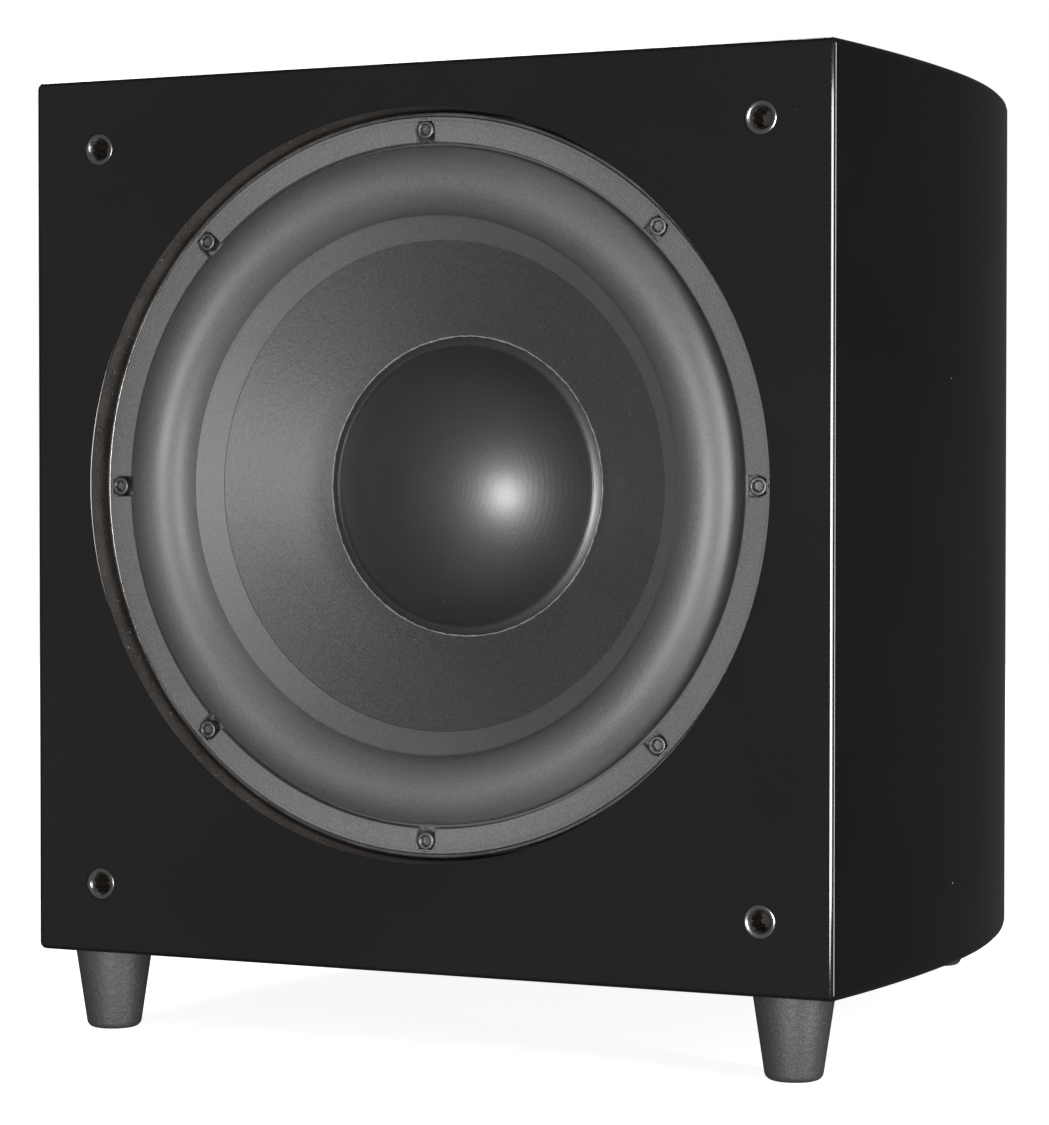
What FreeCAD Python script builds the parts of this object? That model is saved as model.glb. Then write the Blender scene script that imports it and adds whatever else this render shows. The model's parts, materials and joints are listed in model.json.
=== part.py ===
import FreeCAD, Part
import math
import os
import Sketcher
from FreeCAD import Placement, Rotation, Vector

# Powered subwoofer. Millimetres. +Z is up and the driver looks along -Y.
# The origin is on the floor, under the middle of the overall length and width.

sizes = {
    # cabinet: flat front, bowed sides that taper to a narrower back
    "front_y": -207.9, "body_height": 387, "body_depth": 392,
    "bow_half": 198.4, "bow_y": 130, "front_arc": 858, "rear_arc": 480,
    "baffle_thick": 36, "wall": 18, "edge_round": 3, "back_round": 8,
    "brace_y": 196, "brace_width": 46,
    "foam_thick": 20, "foam_long": 110, "foam_wide": 256,
    # feet
    "foot_height": 36, "foot_top": 17.2, "foot_tip": 11.8, "foot_round": 3.5,
    "foot_front_x": 163, "foot_rear_x": 112, "foot_inset": 22.7,
    "foot_bore": 4.6, "foot_seat": 24, "foot_screw": 2.4,
    # driver, 12 inch class: depths are behind the front of the gasket
    "driver_rise": 13.9, "recess": 10.3, "rebate": 160.3, "cutout": 147,
    "flange": 158.75, "flange_hole": 143, "flange_thick": 4, "seal_thick": 1.5,
    "gasket": 156.9, "gasket_hole": 146.2, "gasket_thick": 4.5,
    "notch": 4.35, "bolt_circle": 151.5, "bolt_head": 3.96, "bolt_head_tall": 4.83,
    "bolt_hex": 3.97, "bolt": 2.4, "bolt_long": 28, "bolt_hole": 2.75, "tee_hole": 3.7,
    "roll_outer": 144.5, "roll_inner": 115.5, "roll_bend": 14.7,
    "roll_hollow_outer": 142.8, "roll_hollow_inner": 117.5,
    "land_inner": 105.5, "land_top": 11.9, "roll_foot": 4.7,
    "cone_edge": 117, "cone_slope": 0.645, "cone_thick": 1.9,
    "cap": 65.3, "cap_depth": 39.2, "cap_rim": 4.2, "cap_bend": 89.5, "cap_top": 14,
    "former": 31.8, "former_thick": 0.5, "coil": 33.4, "coil_length": 24,
    "plate_depth": 98, "plate_thick": 8, "plate": 70, "gap_outer": 34, "pole": 30.7,
    "magnet": 78, "magnet_hole": 40, "magnet_thick": 38, "yoke_thick": 8, "vent": 8,
    "ledge_depth": 75, "ledge": 97, "ledge_inner": 88, "basket_wall": 3,
    "spider": 96, "spider_wave": 2.4,
    # grille sockets
    "socket_x": 156.2, "socket_z": 162.6, "socket": 5.35, "socket_bore": 4,
    "socket_long": 15, "socket_sink": 1.7, "flute": 0.9,
    # plate amplifier: its own frame is at the back face, z outward
    "amp_width": 204, "amp_height": 300, "amp_thick": 3, "amp_round": 8,
    "amp_opening_width": 184, "amp_opening_height": 280, "amp_seal": 1.5,
    "amp_screw_x": 97, "amp_screw_y": 145, "amp_screw": 1.8,
    "knob_x": 46, "knob_y": 84, "knob": 9.5, "knob_long": 15, "shaft": 3,
    "shaft_play": 0.05, "knob_gap": 1.2, "knob_flute": 1, "pot": 8.5, "pot_neck": 3.5, "pot_nut": 5,
    "toggle_x": 22, "toggle_y": 40, "toggle_ball": 2.7, "toggle_bore": 3,
    "toggle_case": 6.5, "toggle_nut": 5.2, "toggle_neck": 3.9,
    "jack_x": 62, "jack_y": 22, "jack_pitch": 18, "jack": 4.125, "jack_long": 9,
    "post_x": 52, "post_y": 22, "post_pitch": 19, "post": 3, "post_play": 0.06,
    "post_nut": 6, "post_long": 20, "banana": 2.05,
    "sink_width": 150, "sink_height": 74, "sink_y": -48, "sink_base": 3,
    "fin_tall": 12, "fin_thick": 1.8, "fin_pitch": 8.72,
    "inlet_x": -58, "inlet_y": -120, "rocker_x": 8, "fuse_x": 58,
    "inlet_width": 48, "inlet_height": 23, "inlet_flange": 2.5, "inlet_hole": 1.7, "inlet_hole_x": 20,
    "inlet_case_width": 27, "inlet_case_height": 20, "inlet_deep": 14,
    "rocker_turn": 11.2, "rocker_axis": 1.5, "rocker_tilt": 8,
    "rocker_width": 15, "rocker_height": 30, "rocker_flange": 2,
    "rocker_case_width": 12, "rocker_case_height": 27, "rocker_deep": 16,
    "fuse": 6, "fuse_flange": 8.5, "fuse_bore": 5, "fuse_cap": 6.8,
    "lens_y": 122, "lens": 2.5,
    "board_wide": 150, "board_tall": 118, "board_thick": 1.6,
    "winding": 31, "winding_thick": 17, "winding_tall": 30,
}

doc = FreeCAD.newDocument("Subwoofer")
dims = doc.addObject("Spreadsheet::Sheet", "Dims")
for row, (alias, number) in enumerate(sizes.items(), start=1):
    dims.set(f"A{row}", alias)
    dims.set(f"B{row}", str(number))
    dims.setAlias(f"B{row}", alias)
doc.recompute()

backward = Rotation(Vector(0, 1, 1), 180)      # local z to +Y, local y to +Z, local x to -X
upright = Rotation()
nodes = []


# ---------------------------------------------------------------- helpers

def value(expression):
    return float(dims.evalExpression(str(expression)))


def bind(item, **expressions):
    for name, expression in expressions.items():
        if isinstance(expression, str):
            item.setExpression(name.replace("__", "."), expression)
        else:
            setattr(item, name, expression)
    return item


def place(item, x="0", y="0", z="0", turn=upright):
    item.Placement = Placement(Vector(value(x), value(y), value(z)), turn)
    for axis, expression in (("x", x), ("y", y), ("z", z)):
        item.setExpression(f"Placement.Base.{axis}", expression)
    return item


def node(item, label, x="0", y="0", z="0", turn=upright):
    """a finished sub-part: its label names its file"""
    item.Label = label
    place(item, x, y, z, turn)
    nodes.append(item)
    return item


driver_place = {
    "y": "Dims.front_y + Dims.recess",
    "z": "Dims.foot_height + Dims.body_height / 2 + Dims.driver_rise",
    "turn": backward,
}
amp_place = {
    "y": "Dims.front_y + Dims.body_depth",
    "z": "Dims.foot_height + Dims.body_height / 2",
    "turn": backward,
}


def body(name):
    return doc.addObject("PartDesign::Body", f"{name}_body")


def sketch(owner, plane="XY_Plane", level="0"):
    """a sketch on one of the body's own planes, raised to a level"""
    drawing = owner.newObject("Sketcher::SketchObject", "Sketch")
    origin = next(item for item in owner.Origin.OriginFeatures if item.Role == plane)
    drawing.AttachmentSupport = [(origin, "")]
    drawing.MapMode = "FlatFace"
    drawing.setExpression("AttachmentOffset.Base.z", level)
    return drawing


def dimension(drawing, kind, *references, size):
    index = drawing.addConstraint(Sketcher.Constraint(kind, *references, value(size)))
    drawing.setExpression(f"Constraints[{index}]", size)


def pin_point(drawing, edge, end, x, y):
    dimension(drawing, "DistanceX", -1, 1, edge, end, size=x)
    dimension(drawing, "DistanceY", -1, 1, edge, end, size=y)


def arc_between(start, end, radius):
    """an arc from start to end; a positive radius bends it to the right of the chord"""
    chord = end - start
    left = Vector(-chord.y, chord.x, 0).normalize()
    side = math.copysign(1, radius)
    reach = math.sqrt(radius * radius - chord.Length ** 2 / 4)
    centre = (start + end) * 0.5 + left * (reach * side)
    first, last = (start, end) if radius > 0 else (end, start)
    angles = [math.atan2(point.y - centre.y, point.x - centre.x) for point in (first, last)]
    if angles[1] < angles[0]:
        angles[1] += 2 * math.pi
    return Part.ArcOfCircle(Part.Circle(centre, Vector(0, 0, 1), abs(radius)), *angles)


def outline(drawing, corners):
    """a closed outline: each corner is (x, y), or (x, y, radius) where an arc leaves it"""
    count = len(corners)
    ends = []
    for number, (x, y, *bend) in enumerate(corners):
        follower = corners[(number + 1) % count]
        start = Vector(value(x), value(y), 0)
        end = Vector(value(follower[0]), value(follower[1]), 0)
        if bend:
            edge = drawing.addGeometry(arc_between(start, end, value(bend[0])), False)
            ends.append((edge, 1, 2) if value(bend[0]) > 0 else (edge, 2, 1))
        else:
            ends.append((drawing.addGeometry(Part.LineSegment(start, end), False), 1, 2))
    for number, (x, y, *bend) in enumerate(corners):
        edge, first, last = ends[number]
        follower = ends[(number + 1) % count]
        drawing.addConstraint(Sketcher.Constraint("Coincident", edge, last, follower[0], follower[1]))
        pin_point(drawing, edge, first, x, y)
        if bend:
            dimension(drawing, "Radius", edge, size=f"abs({bend[0]})")
    return drawing


def circle(drawing, radius, x="0", y="0"):
    edge = drawing.addGeometry(
        Part.Circle(Vector(value(x), value(y), 0), Vector(0, 0, 1), value(radius)), False)
    dimension(drawing, "Radius", edge, size=radius)
    pin_point(drawing, edge, 3, x, y)
    return drawing


def rectangle(drawing, width, height, x="0", y="0"):
    left, right = f"{x} - ({width}) / 2", f"{x} + ({width}) / 2"
    low, high = f"{y} - ({height}) / 2", f"{y} + ({height}) / 2"
    return outline(drawing, [(left, low), (right, low), (right, high), (left, high)])


def pad(owner, drawing, length, backwards=False):
    feature = owner.newObject("PartDesign::Pad", "Pad")
    bind(feature, Profile=drawing, Length=length, Reversed=backwards)
    return feature


def pocket(owner, drawing, length=None, backwards=False):
    feature = owner.newObject("PartDesign::Pocket", "Pocket")
    bind(feature, Profile=drawing, Reversed=backwards)
    if length is None:
        feature.Type = "ThroughAll"
    else:
        bind(feature, Length=length)
    return feature


def around(owner, feature, drawing, count):
    """repeat a feature round the sketch's own normal"""
    pattern = owner.newObject("PartDesign::PolarPattern", "Around")
    pattern.Originals = [feature]
    pattern.Axis = (drawing, ["N_Axis"])
    pattern.Angle = 360
    pattern.Occurrences = count
    owner.Tip = pattern
    return pattern


def soften(owner, radius, wanted, kind="Fillet"):
    """fillet or chamfer the edges of the body that the test picks"""
    doc.recompute()
    base = owner.Tip
    names = [f"Edge{number}" for number, edge in enumerate(base.Shape.Edges, start=1)
             if wanted(edge)]
    feature = owner.newObject(f"PartDesign::{kind}", kind)
    feature.Base = (base, names)
    bind(feature, **{"Radius" if kind == "Fillet" else "Size": radius})
    return feature


def turned(name, corners):
    """a solid of revolution: corners are (radius, height) about the local z axis"""
    owner = body(name)
    drawing = outline(sketch(owner, "XZ_Plane"), corners)
    feature = owner.newObject("PartDesign::Revolution", "Turned")
    bind(feature, Profile=drawing, ReferenceAxis=(drawing, ["V_Axis"]), Angle=360)
    return owner


def washer(name, outer, hole, low, high):
    return turned(name, [(hole, low), (outer, low), (outer, high), (hole, high)])


def disc(name, outer, low, high):
    return turned(name, [("0", low), (outer, low), (outer, high), ("0", high)])


def box(width, depth, height, x="0", y="0", z="0"):
    """a block centred on x and y that stands on z"""
    block = doc.addObject("Part::Box", "Block")
    bind(block, Length=width, Width=depth, Height=height)
    return place(block, f"{x} - ({width}) / 2", f"{y} - ({depth}) / 2", z)


def fuse(*pieces):
    result = doc.addObject("Part::MultiFuse", "Joined")
    result.Shapes = list(pieces)
    return result


def copies(piece, places):
    """separate solids of one pattern piece, in one object"""
    links = []
    for x, y, z in places:
        link = doc.addObject("App::Link", "Copy")
        link.LinkedObject = piece
        links.append(place(link, x, y, z))
    group = doc.addObject("Part::Compound", "Set")
    group.Links = links
    return group


def ring_places(radius, count, level="0"):
    """positions evenly round a circle, as expressions"""
    places = []
    for number in range(count):
        angle = 360 / count * number
        places.append((f"{radius} * cos({angle})", f"{radius} * sin({angle})", level))
    return places


def side_x(depth, inset="0"):
    """half width of the cabinet at a depth behind the front, less an inset"""
    arc = "Dims.front_arc" if value(depth) < value("Dims.bow_y") else "Dims.rear_arc"
    return (f"(Dims.bow_half - {arc} + "
            f"sqrt(({arc} - {inset}) ^ 2 - ({depth} - Dims.bow_y) ^ 2))")


def side_run(low, high, inset="0"):
    """corners up the right-hand side from one depth to another, with its arcs"""
    front, rear = f"Dims.front_arc - {inset}", f"Dims.rear_arc - {inset}"
    middle = f"Dims.bow_half - {inset}"
    if value(high) <= value("Dims.bow_y"):
        return [(side_x(low, inset), low, front), (side_x(high, inset), high)]
    return [(side_x(low, inset), low, front), (middle, "Dims.bow_y", rear),
            (side_x(high, inset), high)]


def mirrored(corners):
    """the same run on the left, from the far end back to the near one"""
    back = [(f"-({x})", y) for x, y, *bend in reversed(corners)]
    bends = [bend for x, y, *bend in reversed(corners)][1:] + [[]]
    return [(*corner, *bend) for corner, bend in zip(back, bends)]


# ---------------------------------------------------------------- cabinet

cabinet = {"y": "Dims.front_y"}
inner_low = "Dims.foot_height + Dims.wall"
inner_height = "(Dims.body_height - 2 * Dims.wall)"
back_inner = "(Dims.body_depth - Dims.wall)"


def flat_edge(edge, axis, level):
    """true for an edge that lies wholly at one level along an axis"""
    return all(abs(getattr(vertex.Point, axis) - level) < 1e-4 for vertex in edge.Vertexes)


def front_baffle():
    owner = body("baffle")
    run = side_run("0", "Dims.baffle_thick")
    pad(owner, outline(sketch(owner), run + mirrored(run)), "Dims.body_height")
    height, back = value("Dims.body_height"), value("Dims.baffle_thick")
    soften(owner, "Dims.edge_round", lambda edge: not flat_edge(edge, "y", back) and (
        flat_edge(edge, "z", 0) or flat_edge(edge, "z", height) or flat_edge(edge, "y", 0)))
    centre = "Dims.body_height / 2 + Dims.driver_rise"
    face = sketch(owner, "XZ_Plane")
    pocket(owner, circle(face, "Dims.rebate", y=centre),
           "Dims.recess + Dims.gasket_thick + Dims.flange_thick + Dims.seal_thick")
    face = sketch(owner, "XZ_Plane")
    pocket(owner, circle(face, "Dims.cutout", y=centre), "Dims.baffle_thick")
    face = sketch(owner, "XZ_Plane")
    for x, z, level in ring_places("Dims.bolt_circle", 8):
        circle(face, "Dims.tee_hole", x, f"{centre} + {z}")
    pocket(owner, face, "Dims.baffle_thick")
    face = sketch(owner, "XZ_Plane")
    for side in (-1, 1):
        for level in (-1, 1):
            circle(face, "Dims.socket", f"{side} * Dims.socket_x",
                   f"Dims.body_height / 2 + {level} * Dims.socket_z")
    pocket(owner, face, "Dims.socket_long + 1.5")
    mouth = value("Dims.socket")
    soften(owner, "Dims.socket_sink", lambda edge: flat_edge(edge, "y", 0)
           and isinstance(edge.Curve, Part.Circle) and abs(edge.Curve.Radius - mouth) < 1e-4,
           "Chamfer")
    node(owner, "front_baffle", z="Dims.foot_height", **cabinet)


def horizontal_panel(label, outer_face, level):
    owner = body(label)
    run = side_run("Dims.baffle_thick", "Dims.body_depth")
    pad(owner, outline(sketch(owner), run + mirrored(run)), "Dims.wall")
    deep, front = value("Dims.body_depth"), value("Dims.baffle_thick")
    soften(owner, "Dims.back_round", lambda edge: flat_edge(edge, "y", deep)
           and edge.BoundBox.ZLength > 1)
    outer = value(outer_face)
    soften(owner, "Dims.edge_round", lambda edge: flat_edge(edge, "z", outer)
           and not flat_edge(edge, "y", front))
    node(owner, label, z=level, **cabinet)


def side_panel(label, right):
    owner = body(label)
    outer = side_run("Dims.baffle_thick", back_inner)
    inner = side_run("Dims.baffle_thick", back_inner, "Dims.wall")
    back = [(x, y) for x, y, *bend in reversed(inner)]
    bends = [[f"-({bend[0]})"] for x, y, *bend in reversed(inner) if bend] + [[]]
    corners = outer + [(*corner, *bend) for corner, bend in zip(back, bends)]
    if not right:
        corners = mirrored(outer)
        corners += [(f"-({x})", y, *([f"-({bend[0]})"] if bend else []))
                    for x, y, *bend in inner]
    pad(owner, outline(sketch(owner), corners), inner_height)
    node(owner, label, z=inner_low, **cabinet)


def back_panel():
    owner = body("back_panel")
    run = side_run(back_inner, "Dims.body_depth")
    run = [(run[0][0], run[0][1], "Dims.rear_arc"), run[-1]]
    pad(owner, outline(sketch(owner), run + mirrored(run)), inner_height)
    deep = value("Dims.body_depth")
    soften(owner, "Dims.back_round", lambda edge: flat_edge(edge, "y", deep)
           and edge.BoundBox.ZLength > 50)
    window = sketch(owner, "XZ_Plane")
    rectangle(window, "Dims.amp_opening_width", "Dims.amp_opening_height",
              y=f"{inner_height} / 2")
    pocket(owner, window)
    screws = sketch(owner, "XZ_Plane", "-Dims.body_depth")
    for x, y, level in amp_screw_places():
        circle(screws, "1.85", x, f"{inner_height} / 2 + {y}")
    pocket(owner, screws, "Dims.wall", backwards=True)
    node(owner, "back_panel", z=inner_low, **cabinet)


def window_brace():
    owner = body("brace")
    low, high = "Dims.brace_y", "Dims.brace_y + Dims.wall"
    inset = "(Dims.wall + 0.3)"
    run = [(side_x(low, inset), low, f"Dims.rear_arc - {inset}"), (side_x(high, inset), high)]
    pad(owner, outline(sketch(owner), run + mirrored(run)), inner_height)
    window = sketch(owner, "XZ_Plane")
    rectangle(window, f"2 * ({side_x(high, inset)} - Dims.brace_width)",
              f"{inner_height} - 2 * Dims.brace_width", y=f"{inner_height} / 2")
    pocket(owner, window)
    node(owner, "window_brace", z=inner_low, **cabinet)


def damping_foam():
    """two slabs of wadding, glued behind the brace to the top and bottom panels"""
    middle = "Dims.brace_y + Dims.wall + 8 + Dims.foam_long / 2"
    low = box("Dims.foam_wide", "Dims.foam_long", "Dims.foam_thick", y=middle)
    high = box("Dims.foam_wide", "Dims.foam_long", "Dims.foam_thick", y=middle,
               z=f"{inner_height} - Dims.foam_thick")
    node(fuse(low, high), "damping_foam", z=inner_low, **cabinet)


def feet():
    corners = [
        ("Dims.foot_bore", "0"),
        ("Dims.foot_tip - Dims.foot_round", "0", "Dims.foot_round"),
        ("Dims.foot_tip + 0.15", "Dims.foot_round"),
        ("Dims.foot_top", "Dims.foot_height"),
        ("Dims.foot_screw + 0.3", "Dims.foot_height"),
        ("Dims.foot_screw + 0.3", "Dims.foot_seat"),
        ("Dims.foot_bore", "Dims.foot_seat"),
    ]
    front = "Dims.front_y + Dims.foot_inset"
    rear = "Dims.front_y + Dims.body_depth - Dims.foot_inset"
    places = {
        "foot_front_left": ("-Dims.foot_front_x", front),
        "foot_front_right": ("Dims.foot_front_x", front),
        "foot_rear_left": ("-Dims.foot_rear_x", rear),
        "foot_rear_right": ("Dims.foot_rear_x", rear),
    }
    for label, (x, y) in places.items():
        node(turned(label, corners), label, x, y)
    seat = "Dims.foot_seat"
    screw = turned("foot_screw", [
        ("0", f"{seat} - 3.2"), ("4.1", f"{seat} - 3.2"), ("4.1", seat),
        ("Dims.foot_screw", seat), ("Dims.foot_screw", f"{seat} + 26"), ("0", f"{seat} + 28")])
    node(copies(screw, [(x, y, "0") for x, y in places.values()]), "foot_screws")


def drill_foot_holes():
    """pilot holes in the bottom panel, so that the screws have their own space"""
    panel = next(item for item in nodes if item.Label == "bottom_panel")
    holes = sketch(panel)
    for x, y in (("Dims.foot_front_x", "Dims.foot_inset"),
                 ("Dims.foot_rear_x", "(Dims.body_depth - Dims.foot_inset)")):
        circle(holes, "Dims.foot_screw + 0.05", x, y)
        circle(holes, "Dims.foot_screw + 0.05", f"-{x}", y)
    pocket(panel, holes, "17", backwards=True)
    baffle = next(item for item in nodes if item.Label == "front_baffle")
    holes = sketch(baffle)
    circle(holes, "Dims.foot_screw + 0.05", "Dims.foot_front_x", "Dims.foot_inset")
    circle(holes, "Dims.foot_screw + 0.05", "-Dims.foot_front_x", "Dims.foot_inset")
    pocket(baffle, holes, "17", backwards=True)


def grille_sockets():
    """press-in cups for the grille pegs, with a fluted bore"""
    owner = turned("socket", [
        ("0", "Dims.socket_long"), ("0", "12"), ("Dims.socket_bore", "12"),
        ("Dims.socket_bore", "0.6"), ("Dims.socket_bore + 0.35", "0"),
        ("Dims.socket - 0.02", "0"), ("Dims.socket - 0.02", "Dims.socket_long")])
    flutes = sketch(owner)
    rectangle(flutes, "Dims.flute", "Dims.flute", "Dims.socket_bore")
    slot = pocket(owner, flutes, "12", backwards=True)
    around(owner, slot, flutes, 8)
    places = [(f"{side} * Dims.socket_x", f"{level} * Dims.socket_z", "0")
              for side in (-1, 1) for level in (-1, 1)]
    node(copies(owner, places), "grille_sockets", y="Dims.front_y + Dims.socket_sink - 0.2",
         z="Dims.foot_height + Dims.body_height / 2", turn=backward)


# ---------------------------------------------------------------- driver

flange_top = "Dims.gasket_thick"
flange_under = "(Dims.gasket_thick + Dims.flange_thick)"
cone_front = "(Dims.cap_depth + (Dims.cap - {r}) * Dims.cone_slope)"


def cone_at(radius, deeper="0"):
    """depth of the cone's front surface at a radius"""
    return f"{cone_front.format(r=radius)} + {deeper}"


def driver_basket():
    wall = "Dims.basket_wall"
    owner = turned("basket", [
        ("Dims.flange_hole", flange_top), ("Dims.flange", flange_top),
        ("Dims.flange", flange_under), (f"Dims.flange_hole + {wall} - 0.5", flange_under),
        (f"Dims.ledge + {wall}", "Dims.ledge_depth"),
        (f"Dims.ledge + {wall}", f"Dims.ledge_depth + {wall}"),
        (f"Dims.ledge_inner + {wall}", f"Dims.ledge_depth + {wall}"),
        (f"Dims.ledge_inner + {wall}", "Dims.plate_depth"), ("45", "Dims.plate_depth"),
        ("45", f"Dims.plate_depth - {wall}"),
        ("Dims.ledge_inner", f"Dims.plate_depth - {wall}"),
        ("Dims.ledge_inner", "Dims.ledge_depth"), ("Dims.ledge", "Dims.ledge_depth"),
        ("Dims.flange_hole", f"{flange_under} - 0.5")])
    window = sketch(owner)
    low, high = "102", "138"
    outline(window, [(f"{low} * cos(21)", f"-{low} * sin(21)"),
                     (f"{high} * cos(21)", f"-{high} * sin(21)", high),
                     (f"{high} * cos(21)", f"{high} * sin(21)"),
                     (f"{low} * cos(21)", f"{low} * sin(21)", f"-{low}")])
    around(owner, pocket(owner, window, "Dims.plate_depth", backwards=True), window, 6)
    holes = sketch(owner)
    circle(holes, "Dims.bolt_hole", "Dims.bolt_circle")
    around(owner, pocket(owner, holes, flange_under, backwards=True), holes, 8)
    node(owner, "driver_basket", **driver_place)


def basket_seal():
    owner = washer("seal", "Dims.flange", "Dims.cutout + 0.3", flange_under,
                   f"{flange_under} + Dims.seal_thick")
    holes = sketch(owner)
    circle(holes, "Dims.bolt_hole", "Dims.bolt_circle")
    around(owner, pocket(owner, holes, f"{flange_under} + 5", backwards=True), holes, 8)
    node(owner, "basket_seal", **driver_place)


def front_gasket():
    """rubber ring with a round-ended notch, open to the inside, at each screw"""
    owner = washer("gasket", "Dims.gasket", "Dims.gasket_hole", "0", flange_top)
    notch = sketch(owner)
    inner = "(Dims.gasket_hole - 3)"
    outline(notch, [(inner, "-Dims.notch"),
                    ("Dims.bolt_circle", "-Dims.notch", "Dims.notch + 0.001"),
                    ("Dims.bolt_circle", "Dims.notch"), (inner, "Dims.notch")])
    around(owner, pocket(owner, notch, flange_top, backwards=True), notch, 8)
    node(owner, "front_gasket", **driver_place)


def surround():
    """half-roll rubber edge, with an outer land on the flange and an inner land on the cone"""
    bend = "Dims.roll_bend"
    hollow = "(Dims.roll_hollow_outer - Dims.roll_hollow_inner) / 2"
    node(turned("surround", [
        ("Dims.gasket_hole - 0.3", flange_top), ("Dims.gasket_hole - 0.3", "0.4"),
        ("Dims.roll_outer", "0.4", f"-{bend}"),
        ("Dims.roll_inner", "Dims.roll_foot"), ("Dims.land_inner", "Dims.land_top"),
        ("Dims.land_inner", cone_at("Dims.land_inner")),
        ("Dims.roll_hollow_inner", cone_at("Dims.roll_hollow_inner")),
        ("Dims.roll_hollow_inner", "3.8", f"({hollow} + 0.01)"),
        ("Dims.roll_hollow_outer", "3.8"), ("Dims.roll_hollow_outer", flange_top)]),
        "surround", **driver_place)


def cone():
    neck, edge = "Dims.former", "Dims.cone_edge"
    node(turned("cone", [
        (neck, cone_at(neck)), (edge, cone_at(edge)), (edge, cone_at(edge, "Dims.cone_thick")),
        (neck, cone_at(neck, "Dims.cone_thick"))]), "cone", **driver_place)


def dust_cap():
    rim = "(Dims.cap - Dims.cap_rim)"
    node(turned("cap", [
        ("0", "Dims.cap_top + 1.2"), ("0", "Dims.cap_top", "Dims.cap_bend"),
        (rim, "Dims.cap_depth - 1.2"), ("Dims.cap", "Dims.cap_depth - 1.2"),
        ("Dims.cap", "Dims.cap_depth"), (f"{rim} - 0.3", "Dims.cap_depth", "-Dims.cap_bend")]),
        "dust_cap", **driver_place)


def motor():
    coil_middle = "(Dims.plate_depth + Dims.plate_thick / 2)"
    half = "Dims.coil_length / 2"
    node(washer("former", "Dims.former", "Dims.former - Dims.former_thick",
                cone_at("Dims.former", "-5"), f"{coil_middle} + {half} + 2"),
         "voice_coil_former", **driver_place)
    node(washer("coil", "Dims.coil", "Dims.former", f"{coil_middle} - {half}",
                f"{coil_middle} + {half}"), "voice_coil", **driver_place)
    front, back = "Dims.plate_depth", "(Dims.plate_depth + Dims.plate_thick)"
    node(washer("top_plate", "Dims.plate", "Dims.gap_outer", front, back),
         "top_plate", **driver_place)
    yoke_front = f"({back} + Dims.magnet_thick)"
    node(washer("magnet", "Dims.magnet", "Dims.magnet_hole", back, yoke_front),
         "magnet", **driver_place)
    yoke_back = f"{yoke_front} + Dims.yoke_thick"
    node(turned("yoke", [
        ("Dims.vent", front), ("Dims.pole", front), ("Dims.pole", yoke_front),
        ("Dims.plate", yoke_front), ("Dims.plate", yoke_back), ("Dims.vent", yoke_back)]),
        "pole_yoke", **driver_place)


def spider():
    """corrugated suspension disc between the former and the basket's ledge"""
    top = "(Dims.ledge_depth - 1)"
    pitch = "((Dims.ledge_inner - Dims.former - 6) / 12)"
    front, back = [], []
    for number in range(13):
        radius = f"Dims.former + 3 + {number} * {pitch}"
        wave = "0" if number in (0, 12) else f"{(-1) ** number} * Dims.spider_wave"
        front.append((radius, f"{top} + {wave}"))
        back.append((radius, f"{top} + 1 + {wave}"))
    ends = [("Dims.spider", top), ("Dims.spider", "Dims.ledge_depth")]
    neck = [("Dims.former", f"{top} + 1"), ("Dims.former", top)]
    node(turned("spider", neck + front + ends + back[::-1]), "spider", **driver_place)


def driver_fasteners():
    """socket-head cap screws through the flange, in tee nuts behind the baffle"""
    head_front = f"({flange_top} - Dims.bolt_head_tall)"
    screw = body("bolt")
    pad(screw, circle(sketch(screw, level=head_front), "Dims.bolt_head"), "Dims.bolt_head_tall")
    pad(screw, circle(sketch(screw, level=flange_top), "Dims.bolt"), "Dims.bolt_long")
    key = sketch(screw, level=head_front)
    across = "Dims.bolt_hex / 2 / cos(30)"
    outline(key, [(f"{across} * cos({60 * side})", f"{across} * sin({60 * side})")
                  for side in range(6)])
    pocket(screw, key, "2.6", backwards=True)
    places = ring_places("Dims.bolt_circle", 8)
    node(copies(screw, places), "driver_screws", **driver_place)
    back = "(Dims.baffle_thick - Dims.recess)"
    nut = turned("nut", [
        ("Dims.bolt + 0.05", f"{back} - 10"), ("3.6", f"{back} - 10"), ("3.6", back),
        ("8", back), ("8", f"{back} + 1.2"), ("Dims.bolt + 0.05", f"{back} + 1.2")])
    node(copies(nut, places), "driver_tee_nuts", **driver_place)


def driver_terminals():
    """terminal strip on the basket's rear wall, with two blades"""
    inner = "(Dims.ledge_inner + Dims.basket_wall + 0.05)"
    front = "(Dims.ledge_depth + 6)"
    strip = box("6", "26", "9", f"({inner} + 3)", z=front)
    blades = [box("0.8", "6.3", "8", f"({inner} + 4)", f"{side} * 8", f"{front} + 9")
              for side in (-1, 1)]
    node(fuse(strip, *blades), "driver_terminals", **driver_place)


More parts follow.
